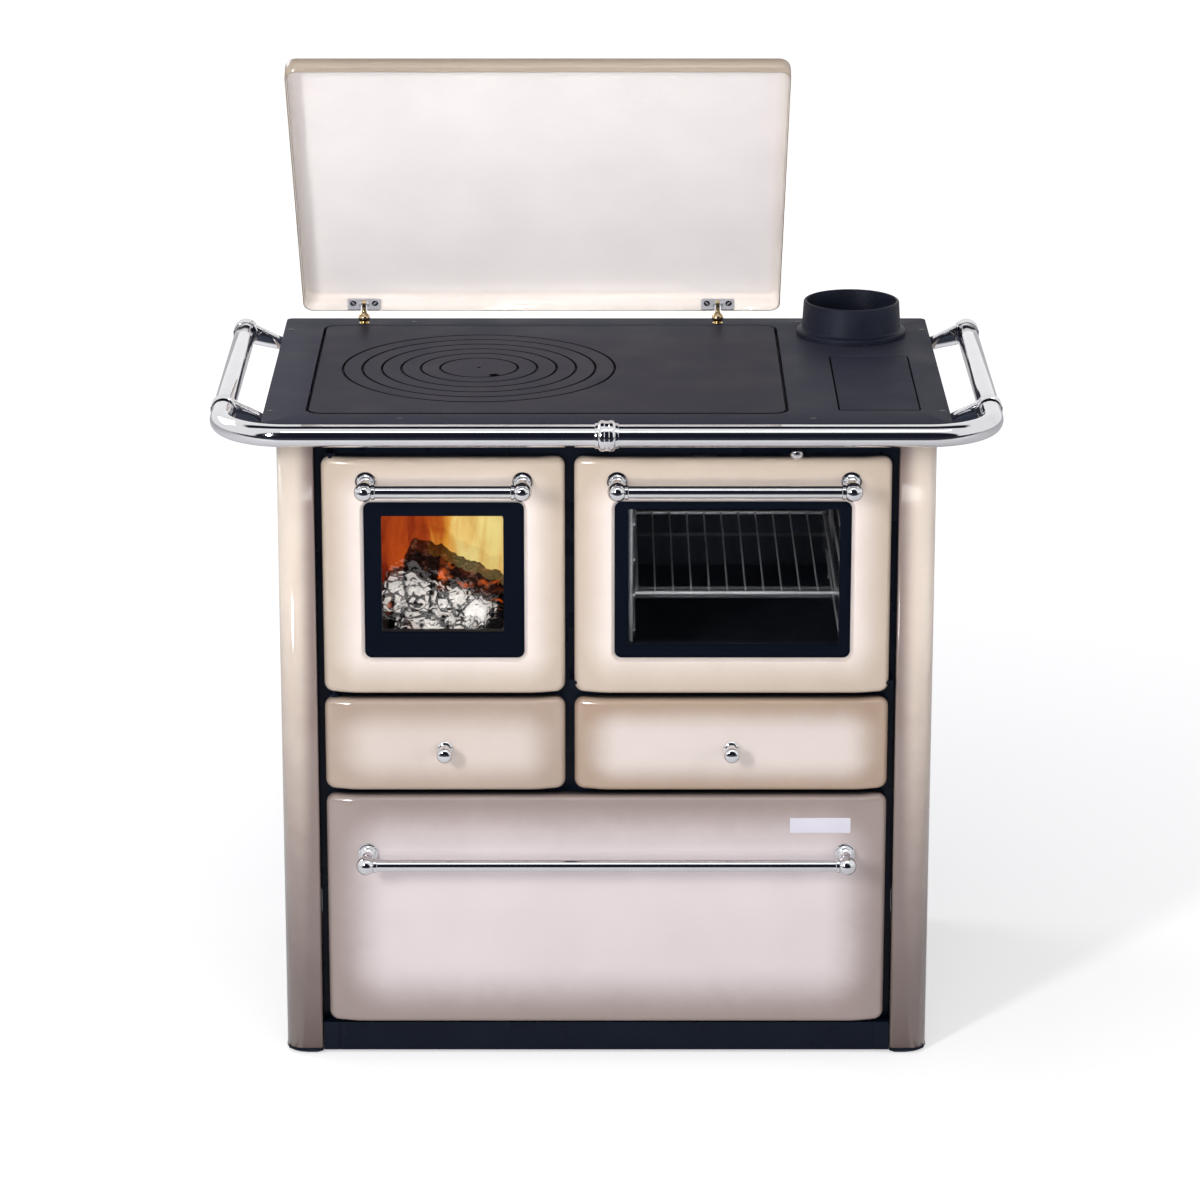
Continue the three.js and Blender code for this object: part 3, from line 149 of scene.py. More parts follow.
def edges_where(bm, test):
    """The edges whose two ends pass a test."""
    return [e for e in bm.edges if test(e.verts[0].co, e.verts[1].co)]


def creases(bm, flat, steep):
    """Edges between a face that looks to the front and one that looks further aside."""
    shared = [e for e in bm.edges if len(e.link_faces) == 2]
    normals = [[f.normal.y for f in e.link_faces] for e in shared]
    return [e for e, ys in zip(shared, normals) if min(ys) < flat and max(ys) > steep]


def largest(faces):
    return max(faces, key=lambda f: f.calc_area())


# %% Helpers that place things
def aimed(place, direction):
    """The matrix that moves a thing to a place and turns its z axis to a direction."""
    return Matrix.Translation(place) @ Vector(direction).to_track_quat("Z", "Y").to_matrix().to_4x4()


def standing(x, y, z):
    """The matrix that stands a flat thing upright at a place, facing the front."""
    return Matrix.Translation((x, y, z)) @ Matrix.Rotation(math.pi / 2, 4, "X")


# %% Helpers that make and change faces
def block(bm, low, high):
    """A box between two corners."""
    size = Matrix.Diagonal((*(high - low), 1))
    bmesh.ops.create_cube(bm, size=1, matrix=Matrix.Translation((low + high) / 2) @ size)


def sheet(bm, place, width, height, columns=1, rows=1):
    """A flat grid of quads, placed by a matrix. Returns its vertices."""
    matrix = place @ Matrix.Diagonal((width, height, 1, 1))
    made = bmesh.ops.create_grid(bm, x_segments=columns, y_segments=rows, size=0.5, matrix=matrix)
    return made["verts"]


def moved(bm, made, offset):
    """Moves the vertices that an extrusion made. Returns them."""
    verts = [g for g in made["geom"] if isinstance(g, bmesh.types.BMVert)]
    bmesh.ops.translate(bm, vec=offset, verts=verts)
    return verts


def pushed(bm, face, offset):
    """Extrudes one face along an offset. Returns the face at the far end."""
    end = bmesh.ops.extrude_discrete_faces(bm, faces=[face])["faces"][0]
    bmesh.ops.translate(bm, vec=offset, verts=list(end.verts))
    return end


def bevel(bm, geom, offset, segments, affect="EDGES"):
    """Rounds edges, or the corners of a flat face."""
    return bmesh.ops.bevel(
        bm, geom=geom, offset=offset, offset_type="OFFSET", segments=segments, profile=0.5,
        affect=affect, material=-1, clamp_overlap=True,
    )


def cut(bm, axis, at, **settings):
    """Divides every face that the plane at one x, y or z goes through."""
    normal = Vector([float(name == axis) for name in "xyz"])
    plane = {"plane_co": normal * at, "plane_no": normal}
    geom = bm.verts[:] + bm.edges[:] + bm.faces[:]
    bmesh.ops.bisect_plane(bm, geom=geom, dist=1e-7, **plane, **settings)


def delete(bm, faces, context="FACES"):
    bmesh.ops.delete(bm, geom=faces, context=context)


def join(bm, other):
    """Adds another bmesh and frees it. Returns the faces that came with it."""
    before = set(bm.faces)
    mesh = bpy.data.meshes.new("part")
    other.to_mesh(mesh)
    other.free()
    bm.from_mesh(mesh)
    bpy.data.meshes.remove(mesh)
    return set(bm.faces) - before


# %% [markdown]
# Turned work (knobs, posts, rings, the flue collar) is a profile spun about its axis, as on a
# lathe. The profile is a list of (radius, distance along the axis) in millimetres. Where the
# profile touches the axis, the spin leaves many points in one place, so doubles are merged.


# %% Helpers for turned work and rods
def turn(bm, profile, place, axis, steps=48):
    """Spins a profile in millimetres about an axis through a place."""
    axis = Vector(axis).normalized()
    side = axis.orthogonal().normalized()
    place = Vector(place)
    verts = [bm.verts.new(place + axis * (z * MM) + side * (r * MM)) for r, z in profile]
    edges = [bm.edges.new(pair) for pair in zip(verts, verts[1:])]
    bmesh.ops.spin(
        bm, geom=verts + edges, cent=place, axis=axis, angle=math.tau, steps=steps, use_merge=True
    )


def turned(profile, place, axis, steps=48):
    """A new bmesh with one spun profile."""
    bm = bmesh.new()
    turn(bm, profile, place, axis, steps)
    return bm


def arc(radius, centre, start, end, steps):
    """Points (radius, along) of an arc about a centre (radius, along), angles in degrees."""
    angles = [math.radians(start + (end - start) * i / steps) for i in range(steps + 1)]
    return [(centre[0] + radius * math.cos(a), centre[1] + radius * math.sin(a)) for a in angles]


def rod(bm, start, end, radius, sides=12):
    """A round bar between two points, with flat ends."""
    start, end = Vector(start), Vector(end)
    bmesh.ops.create_cone(
        bm, cap_ends=True, segments=sides, radius1=radius, radius2=radius,
        depth=(end - start).length, matrix=aimed((start + end) / 2, end - start),
    )


# %% [markdown]
# Flat cast plates are built from outlines. An outline is a rectangle whose corners are rounded by
# beveling its four vertices. Outlines at different heights are bridged into walls, and a flat face
# with holes is filled between them with `triangle_fill`, which leaves the holes open by itself.


# %% Helpers for plates
def outline(bm, span, radius, z, steps=6):
    """The edges of a rectangle (left, right, front, back) with round corners at height z."""
    left, right, front, back = span
    place = Matrix.Translation(((left + right) / 2, (front + back) / 2, z))
    corners = sheet(bm, place, right - left, back - front)
    face = corners[0].link_faces[0]
    if radius > 0:
        rounded = bevel(bm, corners, radius, steps, "VERTICES")
        face = largest({f for v in rounded["verts"] for f in v.link_faces})
    edges = list(face.edges)
    delete(bm, [face], "FACES_ONLY")
    return edges


def grown(span, margin):
    """A rectangle grown by a margin on all sides."""
    left, right, front, back = span
    return (left - margin, right + margin, front - margin, back + margin)


def walls(bm, loop, core, levels):
    """Draws an outline through levels (core, reach, height). The core is the rectangle between
    the middles of its round corners, or a circle's middle; the reach is the corners' radius."""
    first = loop
    for next_core, reach, z in levels:
        made = bmesh.ops.extrude_edge_only(bm, edges=loop)["geom"]
        verts = {g for g in made if isinstance(g, bmesh.types.BMVert)}
        edges = [g for g in made if isinstance(g, bmesh.types.BMEdge)]
        loop = [e for e in edges if all(v in verts for v in e.verts)]
        for v in verts:
            at_right = v.co.x > (core[0] + core[1]) / 2
            at_back = v.co.y > (core[2] + core[3]) / 2
            if core[0] == core[1]:
                at_right = at_back = 0
            away = (v.co.xy - Vector((core[at_right], core[2 + at_back]))).normalized()
            place = Vector((next_core[at_right], next_core[2 + at_back])) + away * reach
            v.co = (*place, z)
        core = next_core
    return first, loop


def stack(bm, span, radius, levels, steps=6):
    """Walls round a rectangle through levels (margin, height). Returns first and last outline."""
    least = 0.2 * MM
    plan = []
    for margin, z in levels:
        reach = max(radius + margin, least)
        plan.append((grown(span, margin - reach), reach, z))
    core, reach, z = plan[0]
    loop = outline(bm, grown(core, reach), reach, z, steps)
    return walls(bm, loop, core, plan[1:])


def round_stack(bm, centre, levels, sides=96):
    """Walls round a circle through levels (radius, height). Returns first and last outline."""
    core = (centre.x, centre.x, centre.y, centre.y)
    radius, z = levels[0]
    place = Matrix.Translation((centre.x, centre.y, z))
    made = bmesh.ops.create_circle(bm, cap_ends=False, segments=sides, radius=radius, matrix=place)
    loop = list({e for v in made["verts"] for e in v.link_edges})
    return walls(bm, loop, core, [(core, r, z) for r, z in levels[1:]])


def fill(bm, *outlines):
    """Closes a body: flat faces between the first outlines, and between the last ones."""
    for loops in zip(*outlines):
        edges = [e for loop in loops for e in loop]
        bmesh.ops.triangle_fill(bm, use_beauty=True, use_dissolve=False, edges=edges)


# %% [markdown]
# Small screws hold the worktop, the hinge plates and the back. A head is a filled circle, cut
# across so that one small face can be pushed down as the slot; its rim is drawn down into the
# surface and its edge is beveled.


# %% Helper for screws
def screw(bm, place, axis, radius, turned_by=0.0):
    """Adds a slotted head, a third of a millimetre proud of a surface. Returns its faces."""
    proud, sunk, slot_depth = 0.35 * MM, 1.2 * MM, 0.7 * MM
    slot_length, slot_width = 0.62 * radius, 0.16 * radius
    head = bmesh.new()
    up = Matrix.Translation((0, 0, proud))
    bmesh.ops.create_circle(head, cap_ends=True, segments=24, radius=radius, matrix=up)
    for way, half in (("x", slot_length), ("y", slot_width)):
        cut(head, way, half)
        cut(head, way, -half)
    slot = min(head.faces, key=lambda f: f.calc_center_median().xy.length)
    rim = [e for e in head.edges if len(e.link_faces) == 1]
    moved(head, bmesh.ops.extrude_edge_only(head, edges=rim), (0, 0, -sunk))
    bmesh.ops.holes_fill(head, edges=head.edges, sides=0)
    pushed(head, slot, (0, 0, -slot_depth))
    bevel(head, rim, 0.25 * MM, 2)
    matrix = aimed(place, axis) @ Matrix.Rotation(turned_by, 4, "Z")
    bmesh.ops.transform(head, matrix=matrix, verts=head.verts)
    return join(bm, head)


# %% [markdown]
# ## Finishes
# Real surfaces are never one flat colour. Effects that several finishes share are node groups:
# `grain` gives fine bumps and patches, `airbrush` gives the mask of the darker sprayed edge that
# the enamel fronts have, and `haze` gives the faint smears of a surface that was wiped by hand.
# The groups read Object coordinates, which are real metres here, so grain has its true size.
# The small classes below only shorten the adding of nodes. A `Finish` is a material that starts
# from one Principled BSDF, so that each finish below only says what is special about it.


# %% Helpers for nodes
class Nodes:
    """Adds nodes to one tree. An input is a plain value or another node's output."""

    def __init__(self, tree):
        self.tree = tree

    def put(self, socket, value):
        """Gives a socket a link or a value. A colour may leave out its alpha."""
        if isinstance(value, bpy.types.NodeSocket):
            self.tree.links.new(value, socket)
        else:
            no_alpha = socket.type == "RGBA" and len(value) == 3
            socket.default_value = (*value, 1) if no_alpha else value

    def add(self, kind, inputs=None, **settings):
        """A node with its settings and its inputs."""
        made = self.tree.nodes.new(f"ShaderNode{kind}")
        for name, value in settings.items():
            setattr(made, name, value)
        for name, value in (inputs or {}).items():
            self.put(made.inputs[name], value)
        return made

    def math(self, operation, a, b=0.0, clamp=False):
        """The result of one operation on two numbers."""
        return self.add("Math", {0: a, 1: b}, operation=operation, use_clamp=clamp).outputs[0]

    def times(self, a, b):
        return self.math("MULTIPLY", a, b)

    def plus(self, a, b):
        return self.math("ADD", a, b)

    def vector(self, operation, a, b=None):
        """The result of one operation on vectors."""
        inputs = {0: a} if b is None else {0: a, 1: b}
        return self.add("VectorMath", inputs, operation=operation).outputs[0]

    def mix(self, factor, a, b, blend="MIX"):
        """Two colours mixed by a factor."""
        inputs = {0: factor, 6: a, 7: b}
        return self.add("Mix", inputs, data_type="RGBA", blend_type=blend).outputs[2]

    def ranged(self, value, low, high, to_low=0.0, to_high=1.0, smooth=False):
        """A number moved from one range to another."""
        kind = "SMOOTHSTEP" if smooth else "LINEAR"
        inputs = {0: value, 1: low, 2: high, 3: to_low, 4: to_high}
        return self.add("MapRange", inputs, interpolation_type=kind).outputs[0]

    def noise(self, point, scale, detail, output="Fac", **inputs):
        """A noise with so many bumps per metre."""
        inputs = {"Vector": point, "Scale": scale, "Detail": detail, **inputs}
        return self.add("TexNoise", inputs).outputs[output]

    def mapped(self, point, **inputs):
        """Coordinates that are moved, turned or scaled."""
        return self.add("Mapping", {"Vector": point, **inputs}).outputs[0]

    def parts(self, point):
        """The x, y and z of coordinates."""
        return self.add("SeparateXYZ", {0: point}).outputs


class Group(Nodes):
    """A new node group that reads coordinates and other inputs and gives out numbers."""

    def __init__(self, name, inputs, outputs):
        super().__init__(bpy.data.node_groups.new(name, "ShaderNodeTree"))
        new_socket = self.tree.interface.new_socket
        for socket, value in {"Vector": (0, 0, 0), **inputs}.items():
            form = "NodeSocketVector" if isinstance(value, tuple) else "NodeSocketFloat"
            new_socket(name=socket, in_out="INPUT", socket_type=form).default_value = value
        for socket in outputs:
            new_socket(name=socket, in_out="OUTPUT", socket_type="NodeSocketFloat")
        self.given = self.tree.nodes.new("NodeGroupInput").outputs
        self.out = self.tree.nodes.new("NodeGroupOutput").inputs
        self.point = self.given["Vector"]


class Finish(Nodes):
    """A new material with its Principled shader and its Object coordinates."""

    def __init__(self, name, colour, roughness, metallic=0.0, **sockets):
        self.material = bpy.data.materials.new(name)
        self.material.use_nodes = True
        super().__init__(self.material.node_tree)
        self.shader = self.tree.nodes["Principled BSDF"]
        self.point = self.add("TexCoord").outputs["Object"]
        self.set(Base_Color=colour, Roughness=roughness, Metallic=metallic, **sockets)

    def set(self, **sockets):
        """Gives the shader's own sockets values or links."""
        for name, value in sockets.items():
            self.put(self.shader.inputs[name.replace("_", " ")], value)

    def group(self, group, **values):
        """Places a node group with its own values. Returns its outputs."""
        return self.add("Group", {"Vector": self.point, **values}, node_tree=group.tree).outputs

    def bump(self, height, distance):
        """Small bumps on the surface; the distance is their real height."""
        inputs = {"Height": height, "Distance": distance, "Strength": 1.0}
        self.set(Normal=self.add("Bump", inputs).outputs[0])


# %% The grain group
grain = Group("grain", {"Size": 0.002, "Patch": 0.08}, ["Height", "Patches"])
for output, size, detail in (("Height", "Size", 3.0), ("Patches", "Patch", 4.0)):
    scale = grain.math("DIVIDE", 1.0, grain.given[size])
    grain.put(grain.out[output], grain.noise(grain.point, scale, detail))

# %% [markdown]
# The airbrush mask is the distance to the edge of a rectangle with round corners, seen from the
# front. The x and z distances past an inner rectangle are combined as a length, which bends the
# band round the corners, and a little noise makes its edge look sprayed.

# %% The airbrush group
NARROW = (0.05, 0.05, 0.05)
airbrush = Group("airbrush", {"Middle": (0, 0, 0), "Half": (1, 1, 1), "Band": NARROW}, ["Mask"])
given = airbrush.given
away = airbrush.vector("SUBTRACT", airbrush.point, given["Middle"])
away = airbrush.vector("ABSOLUTE", away)
past = airbrush.vector("SUBTRACT", away, airbrush.vector("SUBTRACT", given["Half"], given["Band"]))
past = airbrush.parts(airbrush.vector("DIVIDE", past, given["Band"]))
across, upward = (airbrush.math("MAXIMUM", past[i], 0.0) for i in (0, 2))
squares = airbrush.plus(airbrush.times(across, across), airbrush.times(upward, upward))
spray = airbrush.times(airbrush.noise(airbrush.point, 45.0, 5.0), 0.12)
reach = airbrush.plus(airbrush.math("SQRT", squares), spray)
airbrush.put(airbrush.out["Mask"], airbrush.ranged(reach, 0.1, 1.0, smooth=True))

# %% The haze group
haze = Group("haze", {"Low": 0.05, "High": 0.15}, ["Roughness"])
stretch = haze.mapped(haze.point, Rotation=(0.3, 0.5, 0.6), Scale=(9, 22, 9))
smear = haze.noise(stretch, 1.0, 6.0)
rough = haze.ranged(smear, 0.35, 0.75, haze.given["Low"], haze.given["High"])
haze.put(haze.out["Roughness"], rough)
print("node groups:", [g.name for g in bpy.data.node_groups])

# %% [markdown]
# ### Vitreous enamel
# The fronts are sheet steel with a fired glass coat: cream in the middle, airbrushed tan towards
# the edges. Fired glass is smooth but never flat, so it gets a very low, wide ripple, a few
# speckles of unmelted grain and a clear coat. Each front has its own middle and half size. No two
# pieces leave the kiln alike, so each drawer also has its own pair of colours, and the large one
# is a little more lilac than the rest.

# %% Enamel materials
CREAM = (0.69, 0.61, 0.57)
TAN = (0.46, 0.378, 0.305)
COATS = {
    "ash_drawer": ((0.555, 0.475, 0.43), (0.37, 0.285, 0.23)),
    "utility_drawer": ((0.6, 0.525, 0.49), (0.35, 0.255, 0.19)),
    "wood_drawer": ((0.63, 0.555, 0.565), (0.29, 0.23, 0.21)),
    # The column's tan is painted shade, darker towards the floor and along its inner edge.
    "column": ((0.66, 0.565, 0.485), (0.23, 0.175, 0.16)),
    "lid_inside": ((0.87, 0.815, 0.8), (0.8, 0.725, 0.67)),
    "lid_outside": (CREAM, (0.37, 0.3, 0.235)),
}


def enamel(name, low, high, band, cream, tan, turn_back=None):
    """Enamel between two corners, tan within a band of its edges. A piece that stands at a slant
    gives a place and an angle that turn its coordinates back."""
    coat = Finish(name, cream, 0.16, Coat_Weight=0.5, Coat_Roughness=0.04)
    if turn_back:
        place, angle = turn_back
        shifted = coat.mapped(coat.point, Location=[-c for c in place])
        coat.point = coat.mapped(shifted, Rotation=(angle, 0, 0))
    low, high = Vector(low), Vector(high)
    edge = coat.group(airbrush, Middle=(low + high) / 2, Half=(high - low) / 2, Band=band)
    ripple = coat.group(grain, Size=0.006, Patch=0.11)
    cloudy = coat.ranged(ripple["Patches"], 0.3, 0.7, 0.97, 1.03)
    tone = coat.mix(1.0, coat.mix(edge["Mask"], cream, tan), cloudy, "MULTIPLY")
    coat.set(Base_Color=tone, Roughness=coat.group(haze, Low=0.12, High=0.24)["Roughness"])
    coat.bump(ripple["Height"], 0.00005)
    return coat.material


# %% [markdown]
# ### Black parts
# The worktop and hob are cast iron, ground and blackened: a blue-black skin with a fine grain and
# broad dull patches. The frame behind the fronts is satin black enamel, and everything inside is
# sheet steel that the heat has darkened unevenly.


# %% Black materials
def iron(name, colour, size, bumps, rough, metallic=0.25, shine=0.12):
    """Dark iron or enamel, with the size and height of its grain in metres."""
    skin = Finish(name, colour, rough, metallic, Specular_IOR_Level=shine)
    texture = skin.group(grain, Size=size, Patch=0.07)
    tone = skin.ranged(texture["Patches"], 0.3, 0.7, 0.85, 1.15)
    dull = skin.ranged(texture["Patches"], 0.3, 0.7, rough - 0.07, rough + 0.07)
    skin.set(Base_Color=skin.mix(1.0, colour, tone, "MULTIPLY"), Roughness=dull)
    skin.bump(texture["Height"], bumps)
    return skin.material


worktop_iron = iron("worktop_iron", (0.037, 0.038, 0.056), 0.0012, 0.00006, 0.5, 0.0, 0.035)
hob_iron = iron("hob_iron", (0.036, 0.0355, 0.049), 0.0009, 0.00004, 0.47, 0.0, 0.03)
# The inspection cover is darker than the worktop as a painted shadow of the flue collar.
shaded_cover_iron = iron("shaded_cover_iron", (0.027, 0.028, 0.046), 0.0012, 0.00006, 0.5, 0.0, 0.03)
# Near black for the slanted and upright faces in the gaps between plates and rings: painted shade in
# the grooves.
gap_shade_iron = iron("gap_shade_iron", (0.002, 0.002, 0.003), 0.002, 0.00005, 0.85, 0.0, 0.02)
collar_iron = iron("collar_iron", (0.011, 0.013, 0.023), 0.0026, 0.0005, 0.42, 0.1, 0.1)
grate_iron = iron("grate_iron", (0.05, 0.043, 0.038), 0.003, 0.0004, 0.75)
black_enamel = iron("black_enamel", (0.0035, 0.006, 0.013), 0.004, 0.00004, 0.3, 0.0)
black_sheet = iron("black_sheet", (0.019, 0.0225, 0.032), 0.003, 0.00006, 0.5, 0.1)

# %% [markdown]
# ### Bright metal
# Chrome, brass, zinc and wire differ in colour and in how evenly they were polished.


# %% Bright metals
def bright(name, colour, low, high, size=0.004, bumps=0.000004, metallic=1.0):
    """Polished metal, whose roughness varies between low and high."""
    metal = Finish(name, colour, low, metallic)
    pits = metal.group(grain, Size=size, Patch=0.03)
    tone = metal.ranged(pits["Patches"], 0.3, 0.7, 0.94, 1.0)
    rough = metal.group(haze, Low=low, High=high)["Roughness"]
    metal.set(Base_Color=metal.mix(1.0, colour, tone, "MULTIPLY"), Roughness=rough)
    metal.bump(pits["Height"], bumps)
    return metal.material


chrome = bright("chrome", (0.73, 0.73, 0.755), 0.03, 0.09)
brass = bright("brass", (0.7, 0.54, 0.32), 0.12, 0.24)
zinc = bright("zinc", (0.66, 0.68, 0.74), 0.4, 0.55, 0.002, 0.00003)
wire = bright("wire", (0.9, 0.9, 0.92), 0.16, 0.28, metallic=0.5)
black_screw = bright("black_screw", (0.035, 0.035, 0.045), 0.3, 0.45, 0.002, 0.00002)
plate_metal = bright("plate_metal", (0.72, 0.7, 0.78), 0.25, 0.34, 0.001, 0.000008, 0.3)

# %% [markdown]
# ### Door glass and its printed border
# The panes are heat-resistant glass with a black ceramic border fired onto them. A pane is one
# mesh with two materials, because glass and an opaque print need different shaders. Cycles lets no
# lamp shine through a plain glass shader, so the clear glass is mostly transparent through its
# alpha, and a faint veil of soot makes that a little uneven.

# %% Glass
glass = Finish("clear_glass", (0.3, 0.32, 0.34), 0.02, Transmission_Weight=1.0, IOR=1.3)
veil = glass.group(grain, Size=0.004, Patch=0.05)["Patches"]
glass.set(Alpha=glass.ranged(veil, 0.3, 0.75, 0.16, 0.3))
printed = Finish("print_black", (0.003, 0.0045, 0.009), 0.05, Specular_IOR_Level=0.12)
printed.set(Roughness=printed.group(haze, Low=0.03, High=0.09)["Roughness"])

# %% [markdown]
# ## The pressed fronts
# Two doors and three drawer fronts share one pressing: a flat field, a slanted strip down each
# side and soft round edges. Each starts as a cube without a back, is cut at the fold lines, has
# its outer front edges pushed back, and is then beveled three times: folds, corners, rim.
# A window is an inset face, pressed in and rounded, whose bottom is then deleted.

# %% Pressed fronts
FACET = 36 * MM
DROP = 9 * MM
FOLD = 9 * MM
EDGE = 10 * MM
CORNER = 12 * MM
WINDOW_BEVEL = 4.5 * MM
WINDOW_CORNER = 9 * MM
WINDOW_DEPTH = 5.5 * MM
LAP = 8 * MM  # how far a pane reaches behind the front
ENAMEL_SHEET = 1.6 * MM


def press_front(low, high):
    """A front between two corners."""
    bm = bmesh.new()
    block(bm, low, high)
    delete(bm, [f for f in bm.faces if f.normal.y > 0.9], "FACES_ONLY")
    folds_x = (low.x + FACET, high.x - FACET)
    for x in folds_x:
        cut(bm, "x", x)
    for v in bm.verts:
        if near(v.co.x, low.x, high.x) and near(v.co.y, low.y):
            v.co.y += DROP

    def fold(a, b):
        return near(a.x, *folds_x) and near(a.y, low.y) and near(a.x, b.x) and near(a.y, b.y)

    def corner(a, b):
        return near(a.x, low.x, high.x) and near(a.x, b.x) and near(a.z, b.z)

    bevel(bm, edges_where(bm, fold), FOLD, 5)
    bm.normal_update()
    bevel(bm, edges_where(bm, corner), CORNER, 6)
    bm.normal_update()
    bevel(bm, creases(bm, -0.8, -0.2), EDGE, 6)
    bm.normal_update()
    return bm


def press_window(bm, front_y, pane):
    """Presses a window for a pane into the field of a front, rounds its corners and opens it."""
    low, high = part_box(pane)
    left, right, bottom, top = low.x + LAP, high.x - LAP, low.z + LAP, high.z - LAP
    field = largest(f for f in bm.faces if f.normal.y < -0.999)
    bmesh.ops.inset_individual(bm, faces=[field], thickness=5 * MM)
    middle = field.calc_center_median()
    for v in field.verts:
        v.co.x = left - WINDOW_BEVEL if v.co.x < middle.x else right + WINDOW_BEVEL
        v.co.z = bottom - WINDOW_BEVEL if v.co.z < middle.z else top + WINDOW_BEVEL
    pressed = pushed(bm, field, (0, WINDOW_DEPTH, 0))
    steps = [e for v in pressed.verts for e in v.link_edges]
    outer_radius = WINDOW_CORNER + WINDOW_BEVEL
    bevel(bm, [e for e in steps if not near(e.verts[0].co.y, e.verts[1].co.y)], outer_radius, 6)
    bm.normal_update()
    bottom_y = front_y + WINDOW_DEPTH
    pressed = largest(f for f in bm.faces if near(f.calc_center_median().y, bottom_y))
    for v in pressed.verts:
        x = min(max(v.co.x, left + WINDOW_CORNER), right - WINDOW_CORNER)
        z = min(max(v.co.z, bottom + WINDOW_CORNER), top - WINDOW_CORNER)
        v.co.x = x + (v.co.x - x) * WINDOW_CORNER / outer_radius
        v.co.z = z + (v.co.z - z) * WINDOW_CORNER / outer_radius
    sill = list(pressed.edges)
    delete(bm, [pressed], "FACES_ONLY")
    rim = []
    for e in creases(bm, -0.999, -0.95):
        at = e.verts[0].co
        beside = left - outer_radius < at.x < right + outer_radius
        level = bottom - outer_radius < at.z < top + outer_radius
        if beside and level and all(near(v.co.y, front_y) for v in e.verts):
            rim.append(e)
    moved(bm, bmesh.ops.extrude_edge_only(bm, edges=sill), (0, 0.1 * MM, 0))
    bevel(bm, rim, 1.2 * MM, 2)


FRONTS = {
    "firebox_door_skin": ("firebox_door", "firebox_glass", (0.055, 1, 0.055)),
    "oven_door_skin": ("oven_door", "oven_glass", (0.055, 1, 0.068)),
    "ash_drawer_front": ("ash_drawer", None, (0.065, 1, 0.05)),
    "utility_drawer_front": ("utility_drawer", None, (0.06, 1, 0.045)),
    "wood_drawer_front": ("wood_drawer", None, (0.085, 1, 0.085)),
}
for name, (body, pane, band) in FRONTS.items():
    low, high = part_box(name)
    bm = press_front(low, high)
    if pane:
        press_window(bm, low.y, pane)
    bmesh.ops.dissolve_degenerate(bm, dist=0.02 * MM, edges=bm.edges)
    coat = enamel(f"enamel_{name}", low, high, band, *COATS.get(body, (CREAM, TAN)))
    front = piece(f"{name}_enamel", bm, body, [coat], [name], 40)
    solidified(front, ENAMEL_SHEET)
print("fronts pressed:", len(FRONTS))

# %% [markdown]
# ## Side panels
# Each column is one folded sheet: side wall, wide round corner, column face, and a tight fold back
# behind the fronts. It is four corner points extruded upwards, and the two folds are beveled.
# Its enamel is painted darker evenly towards the floor and along its inner edge only, as painted
# shade. So the painted rectangle is twice as tall as the column and wider on the outside, with a
# very tall lower band.

# %% Side panels
COLUMN_RADIUS = 22 * MM
COLUMN_FOLD = 3.5 * MM
COLUMN_RETURN = 26 * MM
OUTSIDE = 0.03
column_low, column_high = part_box("side_panel_right")


def column(side):
    """The folded sheet of one side, 1 for right and -1 for left."""
    bm = bmesh.new()
    inner, outer, front = side * column_low.x, side * column_high.x, column_low.y
    plan = [(outer, column_high.y), (outer, front), (inner, front), (inner, front + COLUMN_RETURN)]
    verts = [bm.verts.new((x, y, column_low.z)) for x, y in plan]
    edges = [bm.edges.new(pair) for pair in zip(verts, verts[1:])]
    height = column_high.z - column_low.z
    moved(bm, bmesh.ops.extrude_edge_only(bm, edges=edges), (0, 0, height))
    for x, radius, steps in ((outer, COLUMN_RADIUS, 12), (inner, COLUMN_FOLD, 4)):
        bent = [e for e in bm.edges if all(near(v.co.x, x) and near(v.co.y, front) for v in e.verts)]
        bevel(bm, bent, radius, steps)
    if side < 0:
        bmesh.ops.reverse_faces(bm, faces=bm.faces)
    return bm


for side, hand in SIDES:
    name = f"side_panel_{hand}"
    bm = column(side)
    low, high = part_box(name)
    high.z *= 2
    if side > 0:
        high.x += OUTSIDE
    else:
        low.x -= OUTSIDE
    # The tan band is painted shade: darker towards the floor and along the inner edge beside the
    # frame.
    coat = enamel(f"enamel_column_{hand}", low, high, (0.026, 1, 0.75), *COATS["column"])
    panel = piece(
        f"{name}_enamel", bm, "body", [coat], [name], 40, recalculate=False
    )
    solidified(panel, ENAMEL_SHEET)

# %% [markdown]
# ## The worktop
# The frame of the worktop is one casting with a hanging skirt and stepped recesses for the loose
# plates. Its outlines are stacked from the top edge round the skirt to the underside, and the top
# and underside are filled between the outer and the inner outlines. Two hooks under it carry the
# damper's plate.

# %% Worktop frame
top_low, top_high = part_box("worktop_frame")
SURFACE = top_high.z
DEPTH = 0.55
THICK = 14 * MM
SKIRT = 28 * MM
SKIRT_WALL = 4 * MM
PLATE = 8.7  # millimetres, like everything that is in a profile
LIP = 4.6
SEAT = 0.3
LEDGE = 8 * MM
BOTTOM = SURFACE - PLATE * MM
FLUE = middle_of("flue_collar")
FLUE_HOLE = 63.2 * MM


def recess(bm, name, radius, gap):
    """A stepped hole for a loose plate. Returns its top and bottom outlines."""
    seat = BOTTOM - SEAT * MM
    levels = [(gap + 0.5 * MM, SURFACE), (gap, SURFACE - 0.5 * MM), (gap, seat)]
    levels += [(-LEDGE, seat), (-LEDGE, SURFACE - THICK)]
    return stack(bm, span_of(name), radius, levels)


